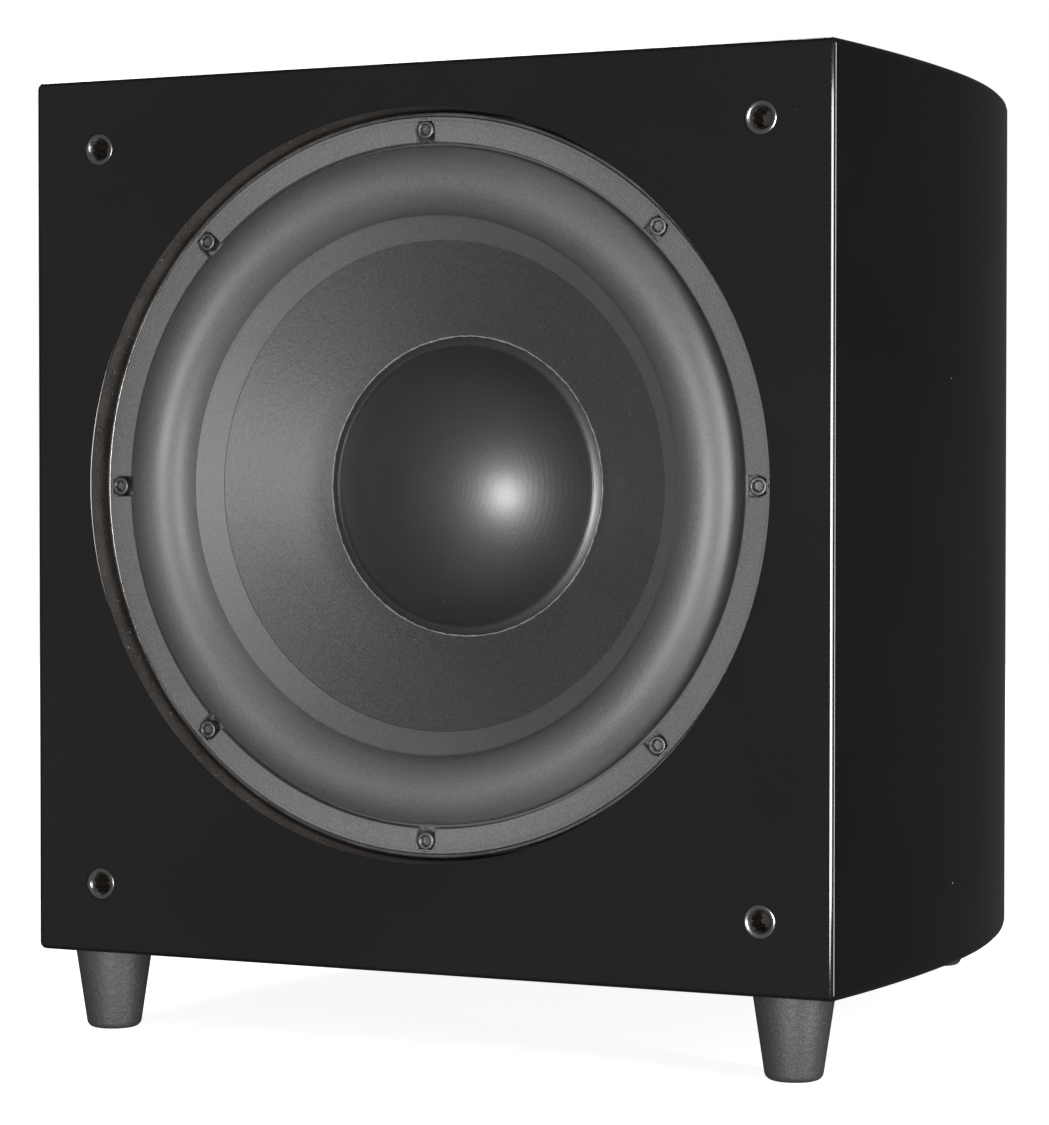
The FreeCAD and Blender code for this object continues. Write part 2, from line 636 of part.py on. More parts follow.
def tube(name, radius, points):
    """a round tube along straight runs with tangent arcs at the corners"""
    corners = [Vector(*(value(number) for number in point)) for point in points]
    edges = []
    start = corners[0]
    for before, here, after in zip(corners, corners[1:], corners[2:]):
        arriving, leaving = (here - before).normalize(), (after - here).normalize()
        turn = arriving.getAngle(leaving)
        reach = 0.45 * min((here - before).Length, (after - here).Length)
        bend = reach / math.tan(turn / 2)
        first, last = here - arriving * reach, here + leaving * reach
        inward = (leaving - arriving).normalize()
        middle = here + inward * (bend / math.cos(turn / 2) - bend)
        edges += [Part.LineSegment(start, first).toShape(), Part.Arc(first, middle, last).toShape()]
        start = last
    edges.append(Part.LineSegment(start, corners[-1]).toShape())
    path = Part.Wire(edges)
    heading = (corners[1] - corners[0]).normalize()
    section = Part.Wire(Part.makeCircle(value(radius), corners[0], heading))
    feature = doc.addObject("Part::Feature", name)
    feature.Shape = path.makePipeShell([section], True, False)
    return feature


def tinsel_leads():
    """two braided leads in free loops from the terminals to the back of the cone"""
    loops = []
    for side in (-1, 1):
        y = f"{side} * 8"
        loops.append(tube("Tinsel", "0.9", [
            ("97.2", y, "85.5"), ("104.5", y, "85.5"), ("104.5", y, "72"), ("101", y, "58"),
            ("92", y, "47"), ("81", y, "43"), ("71", y, "40")]))
    group = doc.addObject("Part::Compound", "Tinsels")
    group.Links = loops
    node(group, "tinsel_leads", **driver_place)


def speaker_lead():
    """the lead from the amplifier board to the driver's terminals, clipped to the brace"""
    node(tube("Lead", "2.2", [
        ("95", "0", "99"), ("95", "0", "118"), ("100", "8", "146"), ("98", "20", "176"),
        ("78", "30", "205"), ("56", "30", "240"), ("48", "24", "275"), ("48", "20", "306")]),
        "speaker_lead", **driver_place)


# ---------------------------------------------------------------- plate amplifier

plate_back = "Dims.amp_seal"
plate_face = "(Dims.amp_seal + Dims.amp_thick)"


def amp_screw_places(level="0"):
    """ten screws round the edge: four at the corners, three more up each side"""
    places = []
    for side in (-1, 1):
        for step in (-1, -0.34, 0.34, 1):
            places.append((f"{side} * Dims.amp_screw_x", f"{step} * Dims.amp_screw_y", level))
        places.append(("0", f"{side} * Dims.amp_screw_y", level))
    return places


def amp_holes(drawing):
    """one hole in the plate for each control and connector"""
    for side in (-1, 1):
        circle(drawing, "3.6", f"{side} * Dims.knob_x", "Dims.knob_y")
        circle(drawing, "3.1", f"{side} * Dims.toggle_x", "Dims.toggle_y")
    for x, y, level in jack_places() + post_places():
        circle(drawing, "3.6", x, y)
    circle(drawing, "Dims.lens", "0", "Dims.lens_y")
    circle(drawing, "Dims.fuse + 0.05", "Dims.fuse_x", "Dims.inlet_y")
    rectangle(drawing, "Dims.inlet_case_width + 0.2", "Dims.inlet_case_height + 0.2",
              "Dims.inlet_x", "Dims.inlet_y")
    rectangle(drawing, "Dims.rocker_case_width + 0.2", "Dims.rocker_case_height + 0.2",
              "Dims.rocker_x", "Dims.inlet_y")


def amp_plate():
    owner = body("amp_plate")
    face = rectangle(sketch(owner, level=plate_back), "Dims.amp_width", "Dims.amp_height")
    pad(owner, face, "Dims.amp_thick")
    soften(owner, "Dims.amp_round", lambda edge: edge.BoundBox.ZLength > 1)
    holes = sketch(owner, level=plate_face)
    amp_holes(holes)
    for x, y, level in amp_screw_places():
        circle(holes, "2", x, y)
    pocket(owner, holes)
    node(owner, "amp_plate", **amp_place)


def amp_plate_seal():
    owner = body("amp_seal")
    face = rectangle(sketch(owner), "Dims.amp_width - 1", "Dims.amp_height - 1")
    pad(owner, face, "Dims.amp_seal")
    soften(owner, "Dims.amp_round", lambda edge: edge.BoundBox.ZLength > 1)
    opening = sketch(owner, level="Dims.amp_seal")
    rectangle(opening, "Dims.amp_opening_width", "Dims.amp_opening_height")
    for x, y, level in amp_screw_places():
        circle(opening, "2", x, y)
    pocket(owner, opening)
    node(owner, "amp_plate_seal", **amp_place)


def amp_screws():
    """pan-head wood screws with a cross recess"""
    owner = turned("amp_screw", [
        ("0", "-14"), ("Dims.amp_screw", "-12"), ("Dims.amp_screw", plate_face),
        ("3.4", plate_face), ("3.4", f"{plate_face} + 0.8"),
        ("1.6", f"{plate_face} + 2.2"), ("0", f"{plate_face} + 2.2")])
    cross = sketch(owner, level=f"{plate_face} + 2.2")
    outline(cross, [(x, y) for x, y in (
        ("0.35", "0.35"), ("0.35", "1.5"), ("-0.35", "1.5"), ("-0.35", "0.35"),
        ("-1.5", "0.35"), ("-1.5", "-0.35"), ("-0.35", "-0.35"), ("-0.35", "-1.5"),
        ("0.35", "-1.5"), ("0.35", "-0.35"), ("1.5", "-0.35"), ("1.5", "0.35"))])
    pocket(owner, cross, "1.3")
    node(copies(owner, amp_screw_places()), "amp_screws", **amp_place)


def heat_sink():
    """finned extrusion; the fins stand upright"""
    owner = body("heat_sink")
    base = rectangle(sketch(owner, level=plate_face), "Dims.sink_width", "Dims.sink_height",
                     y="Dims.sink_y")
    pad(owner, base, "Dims.sink_base")
    fin = sketch(owner, level=f"{plate_face} + Dims.sink_base")
    rectangle(fin, "Dims.fin_thick", "Dims.sink_height",
              "(Dims.fin_thick - Dims.sink_width) / 2", "Dims.sink_y")
    blade = pad(owner, fin, "Dims.fin_tall")
    row = owner.newObject("PartDesign::LinearPattern", "Fins")
    row.Originals = [blade]
    row.Direction = (fin, ["H_Axis"])
    row.Occurrences = 18
    bind(row, Length="Dims.fin_pitch * 17")
    owner.Tip = row
    node(owner, "heat_sink", **amp_place)


def electronics():
    board = box("Dims.board_wide", "Dims.board_tall", "Dims.board_thick", "0", "68", "-20")
    node(board, "amp_board", "0 + 75", "Dims.front_y + Dims.body_depth - 20",
         "Dims.foot_height + Dims.body_height / 2 + 9", backward)
    can = doc.addObject("Part::Torus", "Winding")
    bind(can, Radius1="Dims.winding", Radius2="Dims.winding_thick")
    squat = box("110", "110", "Dims.winding_tall", z="-Dims.winding_tall / 2")
    core = doc.addObject("Part::Common", "Core")
    core.Base, core.Tool = can, squat
    node(core, "power_transformer", "-30", "Dims.front_y + Dims.body_depth - 34",
         "Dims.foot_height + Dims.body_height / 2 - 62", backward)
    capacitor = turned("capacitor", [
        ("0", "-50"), ("10", "-50"), ("11", "-49"), ("11", "-22"), ("10", "-20"), ("0", "-20")])
    node(copies(capacitor, [(x, "72", "0") for x in ("-52", "-26", "26", "52")]),
         "filter_capacitors", **amp_place)


def control_pots():
    """potentiometer bodies behind the plate, with their threaded bushings and nuts"""
    bore = "Dims.shaft + Dims.shaft_play"
    pot = turned("pot", [
        ("0", "-13"), ("Dims.pot", "-13"), ("Dims.pot", "-3"), ("Dims.pot_neck", "-3"),
        ("Dims.pot_neck", plate_face), ("Dims.pot_nut", plate_face),
        ("Dims.pot_nut", f"{plate_face} + 1"), (bore, f"{plate_face} + 1"),
        (bore, "-8"), ("0", "-8")])
    pots = [(f"{side} * Dims.knob_x", "Dims.knob_y", "0") for side in (-1, 1)]
    node(copies(pot, pots), "control_pots", **amp_place)


def knob(name, side):
    """a fluted knob on its own flatted shaft"""
    x = f"{side} * Dims.knob_x"
    low = f"({plate_face} + Dims.knob_gap)"
    high = f"({low} + Dims.knob_long)"
    turning = {"x": f"-({x})", "y": amp_place["y"],
               "z": f"{amp_place['z']} + Dims.knob_y", "turn": backward}
    shaft = disc(f"{name}_shaft", "Dims.shaft", "-7.5", f"{high} - 4")
    node(shaft, f"{name}_shaft", **turning)
    grip = turned(f"{name}_knob", [
        ("Dims.shaft + 0.02", low), ("Dims.knob + 1", low), ("Dims.knob + 1", f"{low} + 2"),
        ("Dims.knob", f"{low} + 3"), ("Dims.knob - 0.8", f"{high} - 0.8"),
        ("Dims.knob - 1.6", high), ("0", high), ("0", f"{high} - 4"),
        ("Dims.shaft + 0.02", f"{high} - 4")])
    flute = sketch(grip, level=f"{low} + 3")
    circle(flute, "Dims.knob_flute", "Dims.knob + 0.35")
    around(grip, pocket(grip, flute, "Dims.knob_long", backwards=True), flute, 20)
    line = sketch(grip, level=high)
    rectangle(line, "1.2", "6", y="4.5")
    pocket(grip, line, "0.6")
    node(grip, f"{name}_knob", **turning)


def toggle_bodies():
    """bushing and case of each toggle switch"""
    case = turned("toggle_case", [
        ("0", "-14"), ("Dims.toggle_case", "-14"), ("Dims.toggle_case", "-2"), ("3", "-2"),
        ("3", plate_face), ("Dims.toggle_nut", plate_face),
        ("Dims.toggle_nut", f"{plate_face} + 2"), ("Dims.toggle_neck", f"{plate_face} + 2"),
        ("Dims.toggle_neck", f"{plate_face} + 5"), ("3.3", f"{plate_face} + 5"),
        ("Dims.toggle_bore", f"{plate_face} + 3"), ("Dims.toggle_bore", f"{plate_face} + 0.5"),
        ("2", f"{plate_face} - 1"), ("0", f"{plate_face} - 1")])
    node(copies(case, [(f"{side} * Dims.toggle_x", "Dims.toggle_y", "0") for side in (-1, 1)]),
         "toggle_bodies", **amp_place)


toggle_pivot = f"({plate_face} + 2.6)"


def toggle_lever(label, side, lean):
    """bat lever on a ball, standing at its rest angle"""
    lever = turned(label, [
        ("0", "-2.6"), ("0.73", "-2.6", "Dims.toggle_ball"), ("1.9", "1.918"), ("1.2", "2.4"),
        ("1.9", "13", "1.95"), ("0.4", "14.8"), ("0", "14.8")])
    tilt = Rotation(Vector(1, 0, 0), lean)
    node(lever, label, f"{-side} * Dims.toggle_x", f"{amp_place['y']} + {toggle_pivot}",
         f"{amp_place['z']} + Dims.toggle_y", backward * tilt)


def jack_places():
    return [(f"Dims.jack_x + {column} * Dims.jack_pitch", f"Dims.jack_y + {line} * Dims.jack_pitch",
             "0") for column in (-0.5, 0.5) for line in (-0.5, 0.5)]


def post_places():
    return [(f"-Dims.post_x + {column} * Dims.post_pitch",
             f"Dims.post_y + {line} * Dims.post_pitch", "0")
            for column in (-0.5, 0.5) for line in (-0.5, 0.5)]


def line_jacks():
    """phono jacks: metal shell, and a plastic core with the centre contact"""
    top = f"({plate_face} + Dims.jack_long)"
    shell = turned("jack", [
        ("2.9", "-9"), ("3.5", "-9"), ("3.5", plate_face), ("5.5", plate_face),
        ("5.5", f"{plate_face} + 1.4"), ("Dims.jack", f"{plate_face} + 1.4"),
        ("Dims.jack", top), ("3.6", top), ("3.6", f"{plate_face} + 1"),
        ("2.9", f"{plate_face} + 1")])
    core = turned("jack_core", [
        ("0", "-9"), ("2.85", "-9"), ("2.85", f"{plate_face} + 1"), ("3.55", f"{plate_face} + 1"),
        ("3.55", f"{top} - 2"), ("1.75", f"{top} - 2"), ("1.75", "-4"), ("0", "-4")])
    node(copies(shell, jack_places()), "line_jacks", **amp_place)
    node(copies(core, jack_places()), "line_jack_cores", **amp_place)


def binding_posts():
    """threaded posts with a banana bore, each with its turning collar"""
    seat = f"({plate_face} + 3)"
    top = f"({plate_face} + Dims.post_long)"
    post = turned("post", [
        ("0", "-12"), ("1.8", "-12"), ("1.8", "-3"), ("3.5", "-3"), ("3.5", plate_face),
        ("6.5", plate_face), ("6.5", seat), ("Dims.post", seat), ("Dims.post", f"{top} - 1"),
        ("Dims.banana", f"{top} - 1"), ("Dims.banana", f"{top} - 13"), ("0", f"{top} - 13")])
    node(copies(post, post_places()), "binding_posts", **amp_place)
    names = ("post_nut_lower_a", "post_nut_upper_a", "post_nut_lower_b", "post_nut_upper_b")
    for label, (x, y, level) in zip(names, post_places()):
        bore = "Dims.post + Dims.post_play"
        nut = turned(label, [
            (bore, f"{seat} + 1.5"), ("Dims.post_nut - 0.6", f"{seat} + 1.5"),
            ("Dims.post_nut", f"{seat} + 2.2"), ("Dims.post_nut", f"{top} - 1.2"),
            ("Dims.post_nut - 1", top), ("Dims.banana + 0.3", top), ("Dims.banana + 0.3", f"{top} - 0.7"),
            (bore, f"{top} - 0.7")])
        flute = sketch(nut, level=f"{seat} + 1")
        circle(flute, "0.7", "Dims.post_nut + 0.2")
        around(nut, pocket(nut, flute, "Dims.post_long", backwards=True), flute, 16)
        node(nut, label, f"-({x})", amp_place["y"], f"{amp_place['z']} + {y}", backward)


def mains_inlet():
    """three-pin appliance inlet: flanged shell with an open cavity, and its pins"""
    owner = body("inlet")
    back = f"({plate_face} - Dims.inlet_deep)"
    pad(owner, rectangle(sketch(owner, level=back), "Dims.inlet_case_width", "Dims.inlet_case_height"),
        "Dims.inlet_deep")
    pad(owner, rectangle(sketch(owner, level=plate_face), "Dims.inlet_width", "Dims.inlet_height"),
        "Dims.inlet_flange")
    soften(owner, "5", lambda edge: edge.BoundBox.ZLength > 1 and edge.BoundBox.ZLength < 5
           and abs(edge.CenterOfMass.x) > 20)
    cavity = sketch(owner, level=f"{plate_face} + Dims.inlet_flange")
    outline(cavity, [("-12.2", "-8.1"), ("12.2", "-8.1"), ("12.2", "3.5"), ("8", "8.1"),
                     ("-8", "8.1"), ("-12.2", "3.5")])
    pocket(owner, cavity, "15")
    ears = sketch(owner, level=f"{plate_face} + Dims.inlet_flange")
    circle(ears, "Dims.inlet_hole", "-Dims.inlet_hole_x")
    circle(ears, "Dims.inlet_hole", "Dims.inlet_hole_x")
    pocket(owner, ears)
    spot = {"x": "-Dims.inlet_x", "y": amp_place["y"],
            "z": f"{amp_place['z']} + Dims.inlet_y", "turn": backward}
    node(owner, "mains_inlet", **spot)
    pins = [box("2", "4", "13.5", x, y, f"{plate_face} - 12.5")
            for x, y in (("-7", "-2"), ("0", "2"), ("7", "-2"))]
    node(fuse(*pins), "inlet_pins", **spot)


def power_switch():
    """rocker in its frame; the ends of the rocker are round about its axis"""
    spot = {"x": "-Dims.rocker_x", "y": amp_place["y"],
            "z": f"{amp_place['z']} + Dims.inlet_y", "turn": backward}
    owner = body("rocker_frame")
    pad(owner, rectangle(sketch(owner, level=f"{plate_face} - Dims.rocker_deep"),
                         "Dims.rocker_case_width", "Dims.rocker_case_height"), "Dims.rocker_deep")
    pad(owner, rectangle(sketch(owner, level=plate_face), "Dims.rocker_width", "Dims.rocker_height"),
        "Dims.rocker_flange")
    hollow = sketch(owner, level=f"{plate_face} + Dims.rocker_flange")
    rectangle(hollow, "9.6", "2 * Dims.rocker_turn + 0.8")
    pocket(owner, hollow, "13")
    node(owner, "rocker_frame", **spot)
    owner = body("rocker")
    turn = "Dims.rocker_turn"
    profile = sketch(owner, "YZ_Plane", "-4.5")
    outline(profile, [
        (f"-{turn} * cos(24)", f"-{turn} * sin(24)"), (f"{turn} * cos(24)", f"-{turn} * sin(24)", turn),
        (f"{turn} * cos(17)", f"{turn} * sin(17)"), ("0", "1.6"),
        (f"-{turn} * cos(17)", f"{turn} * sin(17)", turn)])
    pad(owner, profile, "9")
    tilt = Rotation(Vector(1, 0, 0), -value("Dims.rocker_tilt"))
    node(owner, "power_rocker", "-Dims.rocker_x",
         f"{amp_place['y']} + {plate_face} + Dims.rocker_axis",
         f"{amp_place['z']} + Dims.inlet_y", backward * tilt)


def fuse_holder():
    """panel fuse holder and its quarter-turn cap"""
    top = f"({plate_face} + 2.4)"
    spot = {"x": "-Dims.fuse_x", "y": amp_place["y"],
            "z": f"{amp_place['z']} + Dims.inlet_y", "turn": backward}
    node(turned("fuse_holder", [
        ("0", "-30"), ("Dims.fuse", "-30"), ("Dims.fuse", plate_face),
        ("Dims.fuse_flange", plate_face), ("Dims.fuse_flange", f"{top} - 0.6"),
        ("Dims.fuse_flange - 0.6", top), ("Dims.fuse_bore + 0.06", top),
        ("Dims.fuse_bore + 0.06", "-6"), ("0", "-6")]),
        "fuse_holder", **spot)
    cap = turned("fuse_cap", [
        ("0", "-5"), ("Dims.fuse_bore", "-5"), ("Dims.fuse_bore", f"{top} + 0.5"),
        ("Dims.fuse_cap", f"{top} + 0.5"), ("Dims.fuse_cap", f"{top} + 6"),
        ("Dims.fuse_cap - 0.6", f"{top} + 6.6"), ("0", f"{top} + 6.6")])
    slot = sketch(cap, level=f"{top} + 6.6")
    rectangle(slot, "9", "1.4")
    pocket(cap, slot, "1.6")
    node(cap, "fuse_cap", **spot)


def status_lens():
    node(turned("lens", [
        ("0", "-3"), ("Dims.lens - 0.05", "-3"), ("Dims.lens - 0.05", plate_face),
        ("Dims.lens - 0.05", f"{plate_face} + 0.4", "3.05"), ("0.4", f"{plate_face} + 1.7"),
        ("0", f"{plate_face} + 1.7")]),
        "status_lens", y=amp_place["y"], z=f"{amp_place['z']} + Dims.lens_y", turn=backward)


# ---------------------------------------------------------------- assembly

front_baffle()
horizontal_panel("top_panel", "Dims.wall", "Dims.foot_height + Dims.body_height - Dims.wall")
horizontal_panel("bottom_panel", "0", "Dims.foot_height")
side_panel("left_side_panel", False)
side_panel("right_side_panel", True)
back_panel()
window_brace()
damping_foam()
feet()
drill_foot_holes()
grille_sockets()
driver_basket()
basket_seal()
front_gasket()
surround()
cone()
dust_cap()
motor()
spider()
driver_fasteners()
driver_terminals()
tinsel_leads()
speaker_lead()
amp_plate()
amp_plate_seal()
amp_screws()
heat_sink()
electronics()
control_pots()
knob("volume", -1)
knob("crossover", 1)
toggle_bodies()
toggle_lever("phase_toggle", -1, 12)
toggle_lever("power_mode_toggle", 1, 0)
line_jacks()
binding_posts()
mains_inlet()
power_switch()
fuse_holder()
status_lens()

doc.recompute()

# ---------------------------------------------------------------- checks and export

faults = [f"{item.Label}: {item.State}" for item in doc.Objects
          if "Invalid" in item.State or "Error" in item.State]
faults += [f"{item.Label}: bad shape" for item in nodes
           if item.Shape.isNull() or not item.Shape.isValid() or not item.Shape.Solids]
for item in doc.Objects:
    if item.TypeId == "PartDesign::Pocket" and item.BaseFeature:
        if item.BaseFeature.Shape.Volume - item.Shape.Volume < 0.01:
            faults.append(f"{item.getParentGeoFeatureGroup().Label}: a pocket cuts nothing")
if faults:
    raise SystemExit("\n".join(faults))

os.makedirs("parts", exist_ok=True)
for item in nodes:
    item.Shape.exportStep(f"parts/{item.Label}.step")
    print(f"{item.Label}: {len(item.Shape.Solids)} solids, {item.Shape.Volume / 1000:.2f} cm3")
overall = FreeCAD.BoundBox()
for item in nodes:
    overall.add(item.Shape.BoundBox)
print(len(nodes), "nodes;", overall)
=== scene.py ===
import json
import bpy
import bmesh
import numpy as np
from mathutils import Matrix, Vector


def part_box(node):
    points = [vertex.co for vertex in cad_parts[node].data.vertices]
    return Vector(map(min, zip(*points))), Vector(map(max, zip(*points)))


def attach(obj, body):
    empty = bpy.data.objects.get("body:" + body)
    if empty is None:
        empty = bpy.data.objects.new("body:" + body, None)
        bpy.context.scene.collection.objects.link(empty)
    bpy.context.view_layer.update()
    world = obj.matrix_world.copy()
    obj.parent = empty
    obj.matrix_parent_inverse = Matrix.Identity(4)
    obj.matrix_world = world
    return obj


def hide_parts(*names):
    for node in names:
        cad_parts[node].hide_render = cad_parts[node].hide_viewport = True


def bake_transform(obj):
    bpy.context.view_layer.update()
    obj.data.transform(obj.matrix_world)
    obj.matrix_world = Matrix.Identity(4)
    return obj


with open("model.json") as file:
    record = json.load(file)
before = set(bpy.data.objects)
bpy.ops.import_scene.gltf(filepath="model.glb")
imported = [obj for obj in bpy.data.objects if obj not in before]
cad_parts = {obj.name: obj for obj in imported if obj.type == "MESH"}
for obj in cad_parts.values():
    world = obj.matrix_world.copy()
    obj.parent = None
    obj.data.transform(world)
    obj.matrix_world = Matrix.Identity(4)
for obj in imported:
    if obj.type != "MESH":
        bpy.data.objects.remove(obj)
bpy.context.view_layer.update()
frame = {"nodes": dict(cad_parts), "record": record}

print("subwoofer: frame loaded,", len(frame["nodes"]), "nodes")

mm = 0.001
frontAxes = np.array([[1, 0, 0], [0, 0, 1], [0, -1, 0]], float)    # local z comes out of the front
rearAxes = np.array([[-1, 0, 0], [0, 0, 1], [0, 1, 0]], float)     # local z comes out of the back
upAxes = np.eye(3)


def corners(node):
    low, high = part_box(node)
    return np.array(low), np.array(high)


def middle(node):
    low, high = corners(node)
    return (low + high) / 2


# ---- surfaces ----

def ringTurn(count):
    return np.linspace(0, 2 * np.pi, count, endpoint=False)


def arcPoints(first, last, bend, steps=24):
    # points of an arc of radius bend from first to last; a negative bend bulges to the other side of the
    # chord
    first, last = np.array(first, float), np.array(last, float)
    chord = last - first
    side = np.array([-chord[1], chord[0]]) / np.linalg.norm(chord)
    reach = np.sqrt(max(bend ** 2 - (chord @ chord) / 4, 0))
    centre = (first + last) / 2 + side * reach * np.sign(bend)
    begin = np.arctan2(*(first - centre)[::-1])
    sweep = np.arctan2(*(last - centre)[::-1]) - begin
    sweep = (sweep + np.pi) % (2 * np.pi) - np.pi
    turn = begin + sweep * np.linspace(0, 1, steps)
    return centre + abs(bend) * np.stack([np.cos(turn), np.sin(turn)], 1)


def softLine(points, steps=5, closed=False):
    # a line through (x, y, round) corners; each corner with a round becomes an arc that touches both its
    # sides
    line = []
    count = len(points)
    for number, point in enumerate(points):
        here = np.array(point[:2], float)
        bend = point[2] if len(point) > 2 else 0
        if not bend or (not closed and number in (0, count - 1)):
            line.append(here)
            continue
        before = np.array(points[number - 1][:2]) - here
        after = np.array(points[(number + 1) % count][:2]) - here
        before, after = before / np.linalg.norm(before), after / np.linalg.norm(after)
        half = np.arccos(np.clip(before @ after, -1, 1)) / 2
        reach = bend / np.tan(half)
        outward = (before + after) / np.linalg.norm(before + after)
        centre = here + outward * bend / np.sin(half)
        begin = np.arctan2(*(here + before * reach - centre)[::-1])
        sweep = np.arctan2(*(here + after * reach - centre)[::-1]) - begin
        turn = begin + ((sweep + np.pi) % (2 * np.pi) - np.pi) * np.linspace(0, 1, steps)
        line.extend(centre + bend * np.stack([np.cos(turn), np.sin(turn)], 1))
    return np.array(line)


def plain(line):
    # the line's points as tuples, for rows that also hold weights
    return [tuple(point) for point in line]


def softRectangle(width, height, bend, steps=6):
    # outline of a rectangle with round corners, anticlockwise
    x, y = width / 2, height / 2
    return softLine([(-x, -y, bend), (x, -y, bend), (x, y, bend), (-x, y, bend)], steps, closed=True)


def atTurns(outline, turn):
    # the outline's points at the given polar angles about the origin, found on its own straight sides
    outline = np.asarray(outline, float)
    polar = np.arctan2(outline[:, 1], outline[:, 0]) % (2 * np.pi)
    order = np.argsort(polar)
    polar, ring = polar[order], outline[order]
    polar = np.concatenate([polar[-1:] - 2 * np.pi, polar, polar[:1] + 2 * np.pi])
    ring = np.concatenate([ring[-1:], ring, ring[:1]])
    side = np.clip(np.searchsorted(polar, turn, "right") - 1, 0, len(polar) - 2)
    first, run = ring[side], ring[side + 1] - ring[side]
    ray = np.stack([np.cos(turn), np.sin(turn)], 1)
    across = run[:, 0] * ray[:, 1] - run[:, 1] * ray[:, 0]
    share = (ray[:, 0] * first[:, 1] - ray[:, 1] * first[:, 0]) / np.where(abs(across) < 1e-12, 1e-12, across)
    return first + run * np.clip(share, 0, 1)[:, None]


def outwards(outline):
    # unit normals of an anticlockwise outline, from each point's two neighbours
    along = np.roll(outline, -1, 0) - np.roll(outline, 1, 0)
    normal = np.stack([along[:, 1], -along[:, 0]], 1)
    return normal / np.linalg.norm(normal, axis=1, keepdims=True)


def turned(profile, count=96, shape=None):
    # each (radius, height, weight) row goes once round the axis; the weight says how far its radius
    # follows shape(angle) and how far it stays a circle
    profile = np.asarray([tuple(row) + (0,) * (3 - len(row)) for row in profile], float)
    turn = ringTurn(count)
    scale = np.ones(count) if shape is None else shape(turn)
    radius = profile[:, :1] * (1 + profile[:, 2:3] * (scale - 1))
    height = np.repeat(profile[:, 1:2], count, 1)
    return np.stack([radius * np.cos(turn), radius * np.sin(turn), height], 2)


def stacked(outline, rows):
    # the outline drawn once for each (inset, height) row, moved inwards by the inset
    rows = np.asarray(rows, float)
    flat = outline[None] - rows[:, :1, None] * outwards(outline)[None]
    height = np.broadcast_to(rows[:, 1][:, None, None], flat.shape[:2] + (1,))
    return np.concatenate([flat, height], 2)


def lofted(sections):
    # one ring for each (outline, height) section, all taken at the same polar angles
    turn = ringTurn(144)
    rings = [np.column_stack([atTurns(outline, turn), np.full(len(turn), height)])
             for outline, height in sections]
    return np.stack(rings)


def softEdge(high, edge, steps=4):
    # rows that round the upper edge of a block: a quarter circle in (inset, height)
    turn = np.linspace(0, np.pi / 2, steps)
    return np.stack([edge * (1 - np.cos(turn)), high - edge * (1 - np.sin(turn))], 1)


def block(outline, low, high, edge, bothEdges=False):
    rows = softEdge(high, edge)
    under = [(0, low)]
    if bothEdges:
        under = [(inset, low + high - level) for inset, level in rows[::-1]]
    return stacked(outline, np.vstack([under, rows]))


def leaning(grid, degrees):
    # the grid turned about its own x axis
    turn = np.radians(degrees)
    spin = np.array([[1, 0, 0], [0, np.cos(turn), np.sin(turn)], [0, -np.sin(turn), np.cos(turn)]])
    return grid @ spin


def shifted(grid, x=0, y=0, z=0):
    return grid + np.array([x, y, z], float)


# ---- pieces ----

def tidyMesh(mesh):
    # doubles are merged, open ends closed, and the faces turned outwards
    work = bmesh.new()
    work.from_mesh(mesh)
    bmesh.ops.remove_doubles(work, verts=work.verts, dist=2e-7)
    bmesh.ops.dissolve_degenerate(work, edges=work.edges, dist=1e-7)
    rim = [edge for edge in work.edges if edge.is_boundary]
    if rim:
        bmesh.ops.holes_fill(work, edges=rim, sides=0)
    bmesh.ops.recalc_face_normals(work, faces=work.faces)
    work.to_mesh(mesh)
    work.free()


def meshOf(name, grids, origin, axes):
    # each grid is rows of rings in millimetres; neighbours are joined by quads, and each ring is closed
    points, quads, start = [], [], 0
    for grid in grids:
        rows, columns = grid.shape[:2]
        index = start + np.arange(rows * columns).reshape(rows, columns)
        beside = np.roll(index, -1, axis=1)
        quads.append(np.stack([index[:-1], beside[:-1], beside[1:], index[1:]], -1).reshape(-1, 4))
        points.append(grid.reshape(-1, 3))
        start += rows * columns
    points = np.concatenate(points) * mm @ axes + np.asarray(origin)
    quads = np.concatenate(quads)
    mesh = bpy.data.meshes.new(name)
    mesh.vertices.add(len(points))
    mesh.vertices.foreach_set("co", points.astype(np.float32).ravel())
    mesh.loops.add(quads.size)
    mesh.loops.foreach_set("vertex_index", quads.astype(np.int32).ravel())
    mesh.polygons.add(len(quads))
    mesh.polygons.foreach_set("loop_start", np.arange(len(quads), dtype=np.int32) * 4)
    mesh.update(calc_edges=True)
    tidyMesh(mesh)
    return mesh


def shadeSmooth(piece, crease=32, weighted=False):
    mesh = piece.data
    mesh.polygons.foreach_set("use_smooth", np.ones(len(mesh.polygons), bool))
    mesh.set_sharp_from_angle(angle=np.radians(crease))
    if weighted:
        flat = piece.modifiers.new("faceWeights", "WEIGHTED_NORMAL")
        flat.keep_sharp = True
        flat.weight = 100


def makePiece(name, grids, origin, axes, finish, body, slot, stands=(), crease=32, weighted=False, cutters=()):
    piece = bpy.data.objects.new(name, meshOf(name, grids, origin, axes))
    bpy.context.scene.collection.objects.link(piece)
    piece.data.materials.append(finish)
    if len(cutters):
        cutAway(piece, cutters, origin, axes)
    shadeSmooth(piece, crease, weighted)
    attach(piece, body)
    if stands:
        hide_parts(*stands)
    return piece


